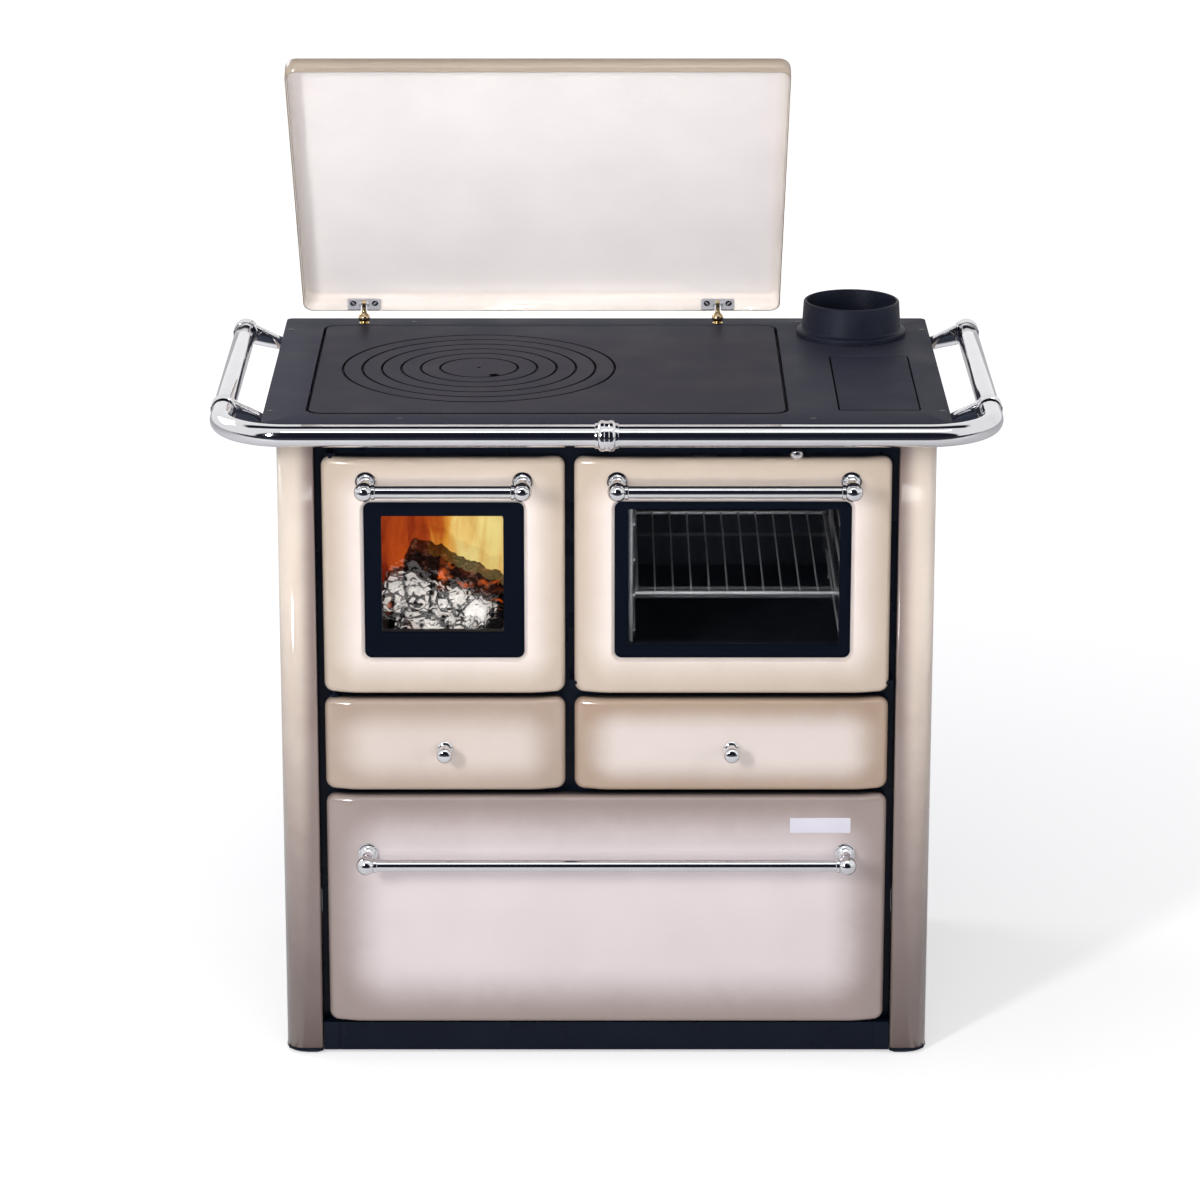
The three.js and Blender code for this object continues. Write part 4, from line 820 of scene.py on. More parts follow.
bm = bmesh.new()
skirt = [(-1.4 * MM, SURFACE), (-0.4 * MM, SURFACE - 0.4 * MM), (0, SURFACE - 1.4 * MM)]
skirt += [(0, SURFACE - SKIRT + 0.8 * MM), (-0.8 * MM, SURFACE - SKIRT)]
skirt += [(-SKIRT_WALL, SURFACE - SKIRT), (-SKIRT_WALL, SURFACE - THICK)]
fill(
    bm,
    stack(bm, (top_low.x, top_high.x, FRONT, FRONT + DEPTH), 8 * MM, skirt),
    recess(bm, "hob_plate", 18 * MM, 3 * MM),
    recess(bm, "inspection_cover", 3 * MM, 1 * MM),
    round_stack(bm, FLUE, [(FLUE_HOLE, SURFACE), (FLUE_HOLE, SURFACE - THICK)], 48),
)
HOOK = [(74, 13.9), (74, 22), (65, 22), (65, 26), (78, 26), (78, 13.9)]
HOOK_FRONT, HOOK_LENGTH = 0.104, 0.184
for side in (-1, 1):
    hook = [bm.verts.new((FLUE.x + side * x * MM, HOOK_FRONT, SURFACE - z * MM)) for x, z in HOOK]
    made = bmesh.ops.extrude_face_region(bm, geom=[bm.faces.new(hook)])
    moved(bm, made, (0, HOOK_LENGTH, 0))
piece("worktop_frame_iron", bm, "body", [worktop_iron], ["worktop_frame"])

# %% Worktop screws
SCREW_RADIUS = 3.6 * MM
SCREW_PLACES = [(256, 23), (256, 528), (419, 60), (419, 484)]  # beside the middle, behind
bm = bmesh.new()
for i, (x, behind) in enumerate(SCREW_PLACES):
    for side in (-1, 1):
        place = (side * x * MM, behind * MM + FRONT, SURFACE)
        screw(bm, place, UP, SCREW_RADIUS, 0.25 + side * 0.2 * i)
piece("worktop_screws", bm, "body", [black_screw])

# %% [markdown]
# ## Hob plate and rings
# The hob plate has a stepped round hole. The rings hang in each other on thin lips, so each is a
# spun profile. Their edges are broken by a good millimetre, and the slanted and upright faces in
# the gaps are painted near black as painted shade. Both make the lines between the rings read as
# dark grooves.

# %% Hob plate
RING_CENTRE = middle_of("hob_disc")
RING_CENTRE.z = SURFACE
EDGE_LEVELS = [(-1.1 * MM, SURFACE), (0, SURFACE - 0.8 * MM), (0, BOTTOM)]
hob_finish = [hob_iron, gap_shade_iron]


def paint_gap_shade(bm):
    """The slanted and upright faces round a plate take the second material, near black as painted
    shade.
    """
    bm.normal_update()
    for f in bm.faces:
        if abs(f.normal.z) < 0.97:
            f.material_index = 1


bm = bmesh.new()
hole_levels = [(176.6, 0), (175.9, 0.5), (175.6, 1.3), (175.6, LIP), (170, LIP), (170, PLATE)]
hole_levels = [(radius * MM, SURFACE - depth * MM) for radius, depth in hole_levels]
edge = stack(bm, span_of("hob_plate"), 18 * MM, EDGE_LEVELS, 8)
fill(bm, edge, round_stack(bm, RING_CENTRE, hole_levels))
paint_gap_shade(bm)
piece("hob_plate_iron", bm, "hob_plate", hob_finish, ["hob_plate"])

# %% Rings and centre disc
RADII = (175, 150, 125, 100, 75, 50)
DISC_FLAT = 38
NOTCH_ANGLE = -62


def outer_edge(radius):
    """The profile of a ring's outer edge, from its underside to its top."""
    lip = [(radius - 5.6, -PLATE), (radius - 5.6, SEAT - LIP), (radius - 0.6, SEAT - LIP)]
    return lip + [(radius - 0.6, -1.3), (radius - 0.9, -0.5), (radius - 1.6, 0)]


for i, (outer, inner) in enumerate(zip(RADII, RADII[1:]), start=1):
    profile = [(inner - 5, -PLATE)] + outer_edge(outer)
    profile += [(inner + 1.6, 0), (inner + 0.9, -0.5), (inner + 0.6, -1.3)]
    profile += [(inner + 0.6, -LIP), (inner - 5, -LIP), (inner - 5, -PLATE)]
    bm = turned(profile, RING_CENTRE, UP, 96)
    paint_gap_shade(bm)
    name = f"hob_ring_{i}"
    piece(f"{name}_iron", bm, name, hob_finish, [name])

dimple = [(2.4, 0), (2, -0.4), (1.6, -1.6), (0, -1.8)]
profile = [(0, -PLATE)] + outer_edge(RADII[-1]) + [(DISC_FLAT, 0)] + dimple
bm = turned(profile, RING_CENTRE, UP, 72)
bmesh.ops.remove_doubles(bm, verts=bm.verts, dist=2e-6)
notch = []
for f in bm.faces:
    c = f.calc_center_median() - RING_CENTRE
    angle = math.degrees(math.atan2(c.y, c.x))
    if near(c.z, 0) and c.xy.length > DISC_FLAT * MM and abs(angle - NOTCH_ANGLE) < 9:
        notch.append(f)
moved(bm, bmesh.ops.extrude_face_region(bm, geom=notch), (0, 0, -3 * MM))
delete(bm, notch)
paint_gap_shade(bm)
piece("hob_disc_iron", bm, "hob_disc", hob_finish, ["hob_disc"])
print("rings turned:", len(RADII) - 1)

# %% Inspection cover
bm = bmesh.new()
name = "inspection_cover"
fill(bm, stack(bm, span_of(name), 3 * MM, EDGE_LEVELS))
paint_gap_shade(bm)
piece(f"{name}_iron", bm, name, [shaded_cover_iron, gap_shade_iron], [name])

# %% [markdown]
# ## Flue collar
# The collar is a rough casting: a flange on the worktop, a round fillet, and a slightly tapered
# wall with a rounded rim. Spinning a detailed profile gives all of these in one go.

# %% Flue collar
top = (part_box("flue_collar")[1].z - SURFACE) / MM
profile = [(59, -10), (62.5, -10), (62.5, SEAT), (72, SEAT)] + arc(3, (69, 5), 0, 90, 5)
profile += arc(4, (69, 12), 262, 190, 5) + arc(3, (60.2, top - 3), 12, 90, 5)
profile += arc(1.2, (60.2, top - 1.2), 90, 180, 3) + [(59, -10)]
bm = turned(profile, (FLUE.x, FLUE.y, SURFACE), UP, 96)
piece("flue_collar_iron", bm, "body", [collar_iron], ["flue_collar"])

# %% [markdown]
# ## Damper
# A chromed ball on a rod pulls a steel plate forward from under the flue. Ball, neck and rod are
# one spun profile, and the plate with its neck and tab is three thin blocks.

# %% Damper
KNOB = 8.5
PLATE_FRONT = 0.398 + FRONT
TAB_BACK = 0.402 + FRONT
damper_low, damper_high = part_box("damper")
knob_place = Vector((0.236, damper_low.y + KNOB * MM, 0.806))
rod_end = (knob_place.y - PLATE_FRONT) / MM
profile = [(0, rod_end), (4, rod_end), (4, -1.5 * KNOB), (5.6, -1.4 * KNOB)]
profile += [(5.6, -1.15 * KNOB), (4.6, -1.05 * KNOB)] + arc(KNOB, (0, 0), -56, 90, 12)
bm = turned(profile, knob_place, OUT, 32)
knob_end = len(bm.faces)
for low, high in (
    ((FLUE.x - 73 * MM, PLATE_FRONT, 0.829), (FLUE.x + 73 * MM, damper_high.y, 0.832)),
    ((0.228, PLATE_FRONT, 0.799), (0.277, TAB_BACK, 0.822)),
    ((0.263, PLATE_FRONT, 0.82), (0.277, TAB_BACK, 0.8295)),
):
    block(bm, Vector(low), Vector(high))
for f in bm.faces[:][knob_end:]:
    f.material_index = 1
piece("damper_chrome", bm, "damper", [chrome, black_sheet], ["damper"])

# %% [markdown]
# ## The rail
# The rail is one chromed tube, bent round the front corners. A capped circle is extruded along
# the straight runs and spun round the bends, as a pipe bender would do it. The spin leaves the end
# face that it started from inside the tube, so those faces are taken out at the end.

# %% Rail tubes
RAIL = 14 * MM
BEND = 85 * MM
rail_low, rail_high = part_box("rail_front")
rail_x = rail_high.x - RAIL
rail_y = rail_low.y + RAIL
rail_z = (rail_low.z + rail_high.z) / 2


def bend_to(bm, face, x):
    """Spins the end face of a tube round a quarter bend about an upright axis."""
    made = bmesh.ops.spin(
        bm, geom=[face], cent=(x, rail_y + BEND, rail_z), axis=UP, angle=math.radians(90),
        steps=16, use_merge=False,
    )
    return next(g for g in made["geom_last"] if isinstance(g, bmesh.types.BMFace))


bm = bmesh.new()
start = standing(-rail_x, rail_high.y, rail_z)
made = bmesh.ops.create_circle(bm, cap_ends=True, segments=32, radius=RAIL, matrix=start)
straight = rail_high.y - rail_y - BEND
end = pushed(bm, made["verts"][0].link_faces[0], (0, -straight, 0))
end = bend_to(bm, end, -rail_x + BEND)
end = pushed(bm, end, (2 * (rail_x - BEND), 0, 0))
end = bend_to(bm, end, rail_x - BEND)
pushed(bm, end, (0, straight, 0))
delete(bm, [f for f in bm.faces if all(len(e.link_faces) > 2 for e in f.edges)], "FACES_ONLY")
bmesh.ops.holes_fill(bm, edges=bm.edges, sides=0)
piece("rail_front_tube", bm, "body", [chrome], ["rail_front"])

for side, hand in SIDES:
    name = f"rail_side_{hand}"
    low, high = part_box(name)
    length = (high.y - low.y) / MM
    profile = [(0, 0), (14, 0), (14, length - 6)]
    profile += [(13.4, length - 3.4), (11.6, length - 1.6), (7.5, length - 0.4), (0, length)]
    bm = turned(profile, (side * rail_x, low.y, rail_z), BACK, 32)
    piece(f"{name}_tube", bm, "body", [chrome], [name])

# %% [markdown]
# Brackets and the middle coupling are cast lugs, polished and chromed. Each is a ribbed collar
# round the tube, spun as a ring, and an arm that runs to the worktop's skirt. The arm is a flat
# outline extruded across, with its edges rounded.


# %% Brackets and coupling
def arm(bm, corners, offset):
    """A solid drawn between corner points and extruded by an offset, with rounded edges."""
    face = bm.faces.new([bm.verts.new(c) for c in corners])
    verts = moved(bm, bmesh.ops.extrude_face_region(bm, geom=[face]), offset)
    faces = list({f for v in verts for f in v.link_faces} | {face})
    bmesh.ops.recalc_face_normals(bm, faces=faces)
    bevel(bm, list({e for f in faces for e in f.edges}), 2.2 * MM, 3)


def mirrored_profile(half):
    """A profile whose second half mirrors its first, closed to a ring."""
    return half + [(r, -z) for r, z in reversed(half)] + half[:1]


eye = [(14.3, -9), (15.3, -9), (16.5, -8), (16.5, -6.1), (15.6, -5.2), (15.6, -3.8), (16.5, -2.9)]
eye = mirrored_profile(eye + [(16.5, -1.6), (15.6, -0.7)])
for side, hand in SIDES:
    for end in ("front", "rear"):
        name = f"rail_bracket_{end}_{hand}"
        low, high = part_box(name)
        y = (low.y + high.y) / 2
        bm = turned(eye, (side * rail_x, y, rail_z), BACK, 40)
        wall = min(abs(low.x), abs(high.x))
        plan = [(wall, SURFACE - 26 * MM), (rail_x - 9 * MM, rail_z - 15.5 * MM)]
        plan += [(rail_x - 11 * MM, rail_z + 11 * MM), (wall, SURFACE - 11 * MM)]
        arm(bm, [(side * x, y - 7 * MM, z) for x, z in plan], (0, 14 * MM, 0))
        piece(f"{name}_chrome", bm, "body", [chrome], [name])

coupling = [(14.3, -14.5), (15.1, -14.5), (15.5, -13.8), (15.7, -10.6), (18.2, -9)]
coupling = mirrored_profile(coupling + [(19.2, -7), (19.2, -3.4), (18.5, -2.4)])
bm = turned(coupling, (0, rail_y, rail_z), RIGHT, 48)
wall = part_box("rail_coupling")[1].y
plan = [(rail_y + 13 * MM, rail_z - 11 * MM), (wall, SURFACE - 25 * MM)]
plan += [(wall, SURFACE - 9 * MM), (rail_y + 13 * MM, rail_z + 4 * MM)]
arm(bm, [(-6 * MM, y, z) for y, z in plan], (12 * MM, 0, 0))
piece("rail_coupling_chrome", bm, "body", [chrome], ["rail_coupling"])

# %% [markdown]
# ## Handles and knobs
# A handle is two turned posts and a bar. A post has a stepped rosette on the enamel, a thin neck
# and a ball; the bar has a small ferrule where it enters each ball.

# %% Handles
BALL = 12.3
STANDOFF = 48
POST_INSET = 13 * MM
rosette = [(0, 0.3), (12.4, 0.3), (13, 0.9), (13, 2.2), (12.3, 3.1), (10.9, 3.4), (10.2, 4.2)]
rosette += [(9.9, 6.4), (8.6, 7.6), (7.4, 8), (7.6, 9), (8.7, 10), (8.9, 11.2), (8, 12.3)]
rosette += [(6.2, 13.6), (5.5, 15.5), (5.5, 31), (6.2, 33), (7.4, 34.2), (7.6, 35.6), (6.9, 36.6)]
post = rosette + arc(BALL, (0, STANDOFF), -52, 90, 14)
ferrule = [(0, 9), (8.9, 9), (9.3, 9.6), (9.3, 13.2), (8.7, 13.8), (7.75, 14)]
HANDLES = {
    "firebox_handle": "firebox_door",
    "oven_handle": "oven_door",
    "wood_drawer_handle": "wood_drawer",
}
for name, body in HANDLES.items():
    low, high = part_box(name)
    z = (low.z + high.z) / 2
    face_y = high.y + SEAT * MM
    bm = bmesh.new()
    posts = (low.x + POST_INSET, high.x - POST_INSET)
    for x in posts:
        turn(bm, post, (x, face_y, z), OUT, 40)
    length = (posts[1] - posts[0]) / MM
    bar = ferrule + [(r, length - along) for r, along in reversed(ferrule)]
    turn(bm, bar, (posts[0], face_y - STANDOFF * MM, z), RIGHT, 32)
    piece(f"{name}_chrome", bm, body, [chrome], [name], 28)

# %% Drawer knobs
profile = [(0, 0.3), (9.4, 0.3), (10, 0.8), (10, 2), (9.2, 2.9), (6.4, 4), (5.1, 5.8), (4.6, 9)]
profile += [(4.6, 13.5), (5.6, 16.4), (8.2, 19), (9.6, 21.2), (10.4, 24), (10.4, 26.6)]
profile += [(9.9, 29.2), (8.6, 31.6), (6.2, 33.2), (3.2, 33.9), (0, 34)]
for body in ("ash_drawer", "utility_drawer"):
    name = f"{body}_knob"
    at = middle_of(name)
    bm = turned(profile, (at.x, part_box(name)[1].y + SEAT * MM, at.z), OUT, 40)
    piece(f"{name}_chrome", bm, body, [chrome], [name], 28)

# %% [markdown]
# ## The folding lid
# The lid is a shallow pressed tray. It is built lying flat, from outlines stacked round its edge,
# and then swung to the angle at which it stands. Its near wall is cut away at the two hinge
# posts. Everything is measured from the hinge line, as on a drawing of the closed lid.

# %% Lid
PIVOT = Vector((0, 0.518 + FRONT, 0.877))
LID_ANGLE = math.radians(-50.5)
LID_DEPTH = 0.496
LID_NEAR = 3.5 * MM
LID_ROUND = 8 * MM
RIM_EDGE = -9 * MM
LID_TOP = RIM_EDGE + 26 * MM
POST_GAP = 4.5 * MM
POST_GAP_TOP = 6.5 * MM
lid_swing = Matrix.Translation(PIVOT) @ Matrix.Rotation(LID_ANGLE, 4, "X")
posts = {hand: middle_of(f"lid_post_{hand}").x for hand in ("left", "right")}
lid_low, lid_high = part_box("lid_shell")
lid_span = (lid_low.x, lid_high.x, LID_NEAR - LID_DEPTH, LID_NEAR)

bm = bmesh.new()
levels = [(0, RIM_EDGE), (0, LID_TOP - LID_ROUND)]
for degrees in range(15, 91, 15):
    a = math.radians(degrees)
    inward, down = LID_ROUND * (1 - math.cos(a)), LID_ROUND * (1 - math.sin(a))
    levels.append((-inward, LID_TOP - down))
fill(bm, stack(bm, lid_span, 15 * MM, levels, 8)[1:])
for x in posts.values():  # the near wall makes room for the posts
    cut(bm, "x", x - POST_GAP)
    cut(bm, "x", x + POST_GAP)
cut(bm, "z", POST_GAP_TOP)
gone = []
for f in bm.faces:
    c = f.calc_center_median()
    at_post = min(abs(c.x - x) for x in posts.values()) < POST_GAP
    if at_post and c.y > 1 * MM and c.z < POST_GAP_TOP:
        gone.append(f)
delete(bm, gone)
bmesh.ops.transform(bm, matrix=lid_swing, verts=bm.verts)
lid_finish = []
for face, band in (("outside", 0.08), ("inside", 0.02)):
    low, high = (lid_span[0], 0, lid_span[2]), (lid_span[1], 1, lid_span[3])
    colours = COATS[f"lid_{face}"]
    turn_back = (PIVOT, math.pi / 2 - LID_ANGLE)
    lid_finish.append(enamel(f"enamel_lid_{face}", low, high, (band, 1, band), *colours, turn_back))
lid = piece("lid_shell_enamel", bm, "lid", lid_finish, ["lid_shell"])
solidified(lid, 1.5 * MM).material_offset = 1

# %% [markdown]
# The lid stands on two small brass posts: a foot, a bead and a flat eye for the pin.

# %% Lid posts
profile = [(0, -17), (3, -17), (3, 0.3), (6.6, 0.3), (7, 0.7), (7, 1.5), (6.2, 2), (5.2, 2.6)]
profile += [(5.8, 3.6), (7, 5), (7.7, 7), (7.8, 8.8), (7.3, 11), (6, 13), (4.2, 14.6)]
profile += [(3.4, 15.4), (3.8, 16.2), (3.4, 17), (3, 18), (3, 24), (0, 24)]
eye = [(2.1, -2.5), (4.6, -2.5), (5, -2.1), (5, 2.1), (4.6, 2.5), (2.1, 2.5), (2.1, -2.5)]
for hand, x in posts.items():
    bm = turned(profile, (x, PIVOT.y, SURFACE), UP, 32)
    turn(bm, eye, (x, PIVOT.y, PIVOT.z), RIGHT, 32)
    piece(f"lid_post_{hand}_brass", bm, "body", [brass], [f"lid_post_{hand}"])

# %% [markdown]
# A hinge plate is a small zinc stamping inside the lid's near wall: a rounded plate, notched for
# the post, two ears round the pin, and two screws. It is built lying flat like the lid, as a
# rectangle in the plane of the wall, and swung up with it.

# %% Hinge plates
NOTCH = 4 * MM
NOTCH_TOP = 6 * MM
for hand, x in posts.items():
    bm = bmesh.new()
    corners = sheet(bm, standing(x, 1.7 * MM, 0), 44 * MM, 18 * MM)
    bevel(bm, corners, 3 * MM, 5, "VERTICES")
    for edge in (-NOTCH, NOTCH):
        cut(bm, "x", x + edge)
    cut(bm, "z", NOTCH_TOP)
    middles = [(f, f.calc_center_median()) for f in bm.faces]
    delete(bm, [f for f, c in middles if abs(c.x - x) < NOTCH and c.z < NOTCH_TOP])
    made = bmesh.ops.extrude_face_region(bm, geom=bm.faces[:])
    moved(bm, made, (0, -1.5 * MM, 0))
    ears = bmesh.new()
    for side in (-1, 1):
        rod(ears, (x + side * 4 * MM, 0, 0), (x + side * 6.5 * MM, 0, 0), 4.5 * MM, 32)
    cut(ears, "y", 1.5 * MM, clear_outer=True)
    bmesh.ops.holes_fill(ears, edges=ears.edges, sides=0)
    rod(ears, (x - 7.3 * MM, 0, 0), (x + 7.3 * MM, 0, 0), 1.9 * MM, 16)
    join(bm, ears)
    for side in (-1, 1):
        place = (x + side * 14.5 * MM, 0.2 * MM, 1 * MM)
        for f in screw(bm, place, OUT, 4.4 * MM, 0.8 * side):
            f.material_index = 1
    bmesh.ops.transform(bm, matrix=lid_swing, verts=bm.verts)
    name = f"lid_hinge_{hand}"
    piece(f"{name}_zinc", bm, "lid", [zinc, black_screw], [name])

# %% [markdown]
# ## Door panes
# A pane is a flat plate. Cuts divide its faces into the clear field and the border round it, which
# takes the black print. The print is opaque, so the border on both sides has that material.

# %% Panes
PANES = {  # body, and left, right, bottom and top of the clear field
    "firebox_glass": ("firebox_door", (-0.282, -0.129, 0.570, 0.722)),
    "oven_glass": ("oven_door", (0.026, 0.292, 0.553, 0.731)),
}
for name, (body, (left, right, bottom, top)) in PANES.items():
    low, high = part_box(name)
    bm = bmesh.new()
    block(bm, low, high)
    for axis, at in (("x", left), ("x", right), ("z", bottom), ("z", top)):
        cut(bm, axis, at)
    for f in bm.faces:
        c = f.calc_center_median()
        f.material_index = 0 if left < c.x < right and bottom < c.z < top else 1

    def corner(a, b):
        return near(a.x, low.x, high.x) and near(a.z, low.z, high.z) and not near(a.y, b.y)

    bevel(bm, edges_where(bm, corner), 15 * MM, 5)
    finish = [glass.material, printed.material]
    piece(f"{name}_pane", bm, body, finish, [name])

# %% [markdown]
# ## Oven wires
# The shelf and its ladders are chromed wire, which is many straight rods. Each rod is a capped
# cylinder of twelve sides.

# %% Oven shelf and ladders
RUNNERS = [0.552 + 0.0465 * i for i in range(4)]
SPANS = 11  # gaps between the shelf's wires
FRAME_WIRE = 2.5 * MM
for hand, inward in (("left", 1), ("right", -1)):
    name = f"oven_rack_{hand}"
    low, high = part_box(name)
    upright = (low.x if inward > 0 else high.x) + inward * 3 * MM
    runner = upright + inward * 4 * MM
    bm = bmesh.new()
    for y in (low.y + 25 * MM, high.y - 25 * MM):
        rod(bm, (upright, y, low.z), (upright, y, high.z), 3 * MM)
    for z in RUNNERS:
        rod(bm, (runner, low.y, z), (runner, high.y, z), 2 * MM)
    piece(f"{name}_wire", bm, "body", [wire], [name])

low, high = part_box("oven_shelf")
bm = bmesh.new()
z = (low.z + high.z) / 2
front, back = low.y + FRAME_WIRE, high.y - FRAME_WIRE
for y in (front, back):
    rod(bm, (low.x, y, z), (high.x, y, z), FRAME_WIRE)
pitch = (high.x - low.x - 2 * FRAME_WIRE) / SPANS
for i in range(SPANS + 1):
    x = low.x + FRAME_WIRE + pitch * i
    radius = 2.2 * MM if i in (0, SPANS) else 1.3 * MM
    rod(bm, (x, front, z), (x, back, z), radius)
piece("oven_shelf_wire", bm, "body", [wire], ["oven_shelf"])

# %% [markdown]
# ## Finishes on the solid model's own pieces
# Feet, frames, decks, liners and boxes keep the solid model's shape and only take a finish.

# %% Finishes for the kept pieces
brick = Finish("firebrick", (0.3, 0.22, 0.15), 0.9)
texture = brick.group(grain, Size=0.004, Patch=0.06)
sooty = brick.ranged(texture["Patches"], 0.35, 0.65)
brick.set(Base_Color=brick.mix(sooty, (0.05, 0.04, 0.035), (0.3, 0.21, 0.14)))
brick.bump(texture["Height"], 0.001)

KEPT = {
    black_enamel: "foot_front_right foot_front_left foot_rear_right foot_rear_left base_frame"
    " front_frame",
    black_sheet: "back_panel drawer_deck oven_deck oven_muffle ash_pan utility_drawer_box"
    " wood_drawer_box firebox_door_liner oven_door_liner",
    brick.material: "firebrick_left firebrick_right firebrick_back",
    grate_iron: "fire_grate",
}
for material, names in KEPT.items():
    for name in names.split():
        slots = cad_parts[name].data.materials
        slots.clear()
        slots.append(material)

# %% Screws of the back panel
back_low, back_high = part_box("back_panel")
SIDE_INSET = 14 * MM
ROW_INSET = 20 * MM
bottom_row, top_row = back_low.z + ROW_INSET, back_high.z - ROW_INSET
bm = bmesh.new()
for side in (-1, 1):
    for k in range(5):
        z = bottom_row + k * (top_row - bottom_row) / 4
        place = (side * (back_high.x - SIDE_INSET), back_high.y, z)
        screw(bm, place, BACK, SCREW_RADIUS, 0.7 * k + side)
for k in (-1, 0, 1):
    for z in (bottom_row, top_row):
        screw(bm, (k * 0.19, back_high.y, z), BACK, SCREW_RADIUS, 0.9 * k + z)
piece("back_screws", bm, "body", [zinc])

# %% [markdown]
# ## The fire
# Behind the small window a fire burns down: logs covered in white ash, split by black cracks, on a
# bed of charcoal, with red flames on the left and a yellow blaze on the right. The ash is a
# Voronoi pattern of flakes, lying across a coarser one of chunks; the distance to the cell edges
# gives the cracks, and embers glow in them.


# %% Burnt wood
def burnt(name, ash, char, cell, cover, glow, lit=0.0):
    """Wood burnt to blocks. The cover is how much of the blocks is ash, the glow how hot. Ash that
    faces the flames is lit by them more than the lamps show, so some of its colour shines."""
    wood = Finish(name, char, 0.9, Specular_IOR_Level=0.1, Emission_Strength=1.6)

    def cracks(point, scale):
        inputs = {"Vector": point, "Scale": scale}
        return wood.add("TexVoronoi", inputs, feature="DISTANCE_TO_EDGE").outputs["Distance"]

    wobble = {0: wood.noise(wood.point, 60.0, 4.0, "Color"), "Scale": 0.012}
    wobble = wood.add("VectorMath", wobble, operation="SCALE").outputs[0]
    bent = wood.vector("ADD", wood.point, wobble)
    flakes = cracks(wood.mapped(bent, Scale=(0.55, 1.0, 1.0)), 1 / cell)
    gape = wood.ranged(wood.noise(wood.point, 52.0, 3.0), 0.35, 0.65, 0.16, -0.12)
    flakes = wood.ranged(wood.plus(flakes, gape), 0.03, 0.1, smooth=True)
    chunks = wood.ranged(cracks(bent, 0.36 / cell), 0.02, 0.08, smooth=True)
    crack = wood.times(flakes, chunks)
    dust = wood.noise(wood.point, 95.0, 6.0)
    mask = wood.times(crack, wood.ranged(dust, 0.62 - cover * 0.3, 0.7 - cover * 0.3))
    shade = wood.mix(dust, [c * 0.55 for c in ash], ash)
    heat = wood.noise(wood.point, 28.0, 2.0)
    heat = wood.ranged(heat, 0.72 - glow * 0.3, 0.85 - glow * 0.2)
    heat = wood.times(heat, wood.math("SUBTRACT", 1.0, mask))
    # Painted light: ash facing the flames gives off part of its colour, standing in for the flames
    # lighting it.
    ash_painted_light = wood.mix(wood.times(mask, lit), (0, 0, 0), [c * 0.5 for c in ash])
    wood.set(Base_Color=wood.mix(mask, char, shade))
    wood.set(Emission_Color=wood.mix(heat, ash_painted_light, (1.0, 0.16, 0.02)))
    wood.bump(wood.plus(crack, wood.times(dust, 0.6)), 0.003)
    return wood.material


ash_wood = burnt("ash_wood", (0.95, 0.89, 0.84), (0.018, 0.015, 0.018), 0.012, 0.95, 0.1, 0.85)
# This wood's reddish brown is partly its charred colour and partly painted firelight, so that it
# turns orange under the flames.
dark_wood = burnt("dark_wood", (0.4, 0.17, 0.1), (0.03, 0.012, 0.01), 0.014, 0.35, 0.42)
charcoal = burnt("charcoal", (0.4, 0.32, 0.28), (0.012, 0.01, 0.012), 0.01, 0.3, 0.5)


# %% [markdown]
# A log is a cylinder whose rings of vertices are pushed in and out by noise. It is finely divided
# first, because noise can only move vertices that exist.


# %% Logs
def log(name, start, end, radius, material, seed):
    """One log from start to end, a little thinner towards its end."""
    start, end = Vector(start), Vector(end)
    bm = bmesh.new()
    length = (end - start).length
    bmesh.ops.create_cone(
        bm, cap_ends=True, segments=36, radius1=radius, radius2=radius * 0.86, depth=length
    )
    along = edges_where(bm, lambda a, b: not near(a.z, b.z))
    bmesh.ops.subdivide_edges(bm, edges=along, cuts=int(length / (4 * MM)), use_grid_fill=True)
    caps = [f for f in bm.faces if len(f.verts) > 4]
    for _ in range(3):
        bmesh.ops.inset_individual(bm, faces=caps, thickness=radius * 0.3)
    for v in bm.verts:
        rough = noise.fractal(v.co * 55 + Vector((seed, 0, 0)), 0.6, 2.2, 4) * 0.32
        blocks = (noise.noise(v.co * 130 + Vector((0, seed, 0))) > 0.05) * 0.09
        away = Vector((v.co.x, v.co.y, v.co.z * 0.12))
        v.co += away.normalized() * radius * (rough + blocks)
    bmesh.ops.transform(bm, matrix=aimed((start + end) / 2, end - start), verts=bm.verts)
    piece(name, bm, "body", [material], crease=50)


log("log_ash", (-0.276, -0.052, 0.577), (-0.148, -0.112, 0.561), 0.0235, ash_wood, 3)
log("log_split", (-0.262, -0.098, 0.556), (-0.172, -0.134, 0.552), 0.0155, ash_wood, 11)
log("log_back", (-0.252, 0.018, 0.606), (-0.138, -0.028, 0.573), 0.0215, dark_wood, 7)
log("log_left", (-0.271, -0.01, 0.566), (-0.212, 0.06, 0.572), 0.0235, dark_wood, 19)
log("log_right", (-0.139, -0.128, 0.552), (-0.146, 0.05, 0.556), 0.0125, charcoal, 23)

# %% [markdown]
# The charcoal bed is 64 small balls, dented by noise and thrown on the grate at random, with a
# heap along the left side. The random numbers have a fixed seed, so the bed never changes.

# %% Charcoal
chance = random.Random(5)
grate_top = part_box("fire_grate")[1].z
bm = bmesh.new()
for k in range(64):
    x = chance.uniform(-0.28, -0.132)
    y = chance.uniform(-0.15, 0.11)
    size = chance.uniform(0.008, 0.014)
    heap = 0.026 * max(0.0, 1 - abs(x + 0.275) / 0.05) * (y > -0.08)
    at = Vector((x, y, grate_top + size * 0.8 + heap))
    made = bmesh.ops.create_icosphere(bm, subdivisions=2, radius=size)
    for v in made["verts"]:
        push = 1 + 0.5 * noise.noise(v.co * 90 + Vector((k, 0, 0)))
        v.co = at + Vector((v.co.x * push, v.co.y * push, v.co.z * push * 0.75))
piece("charcoal_bed", bm, "body", [charcoal], crease=30)

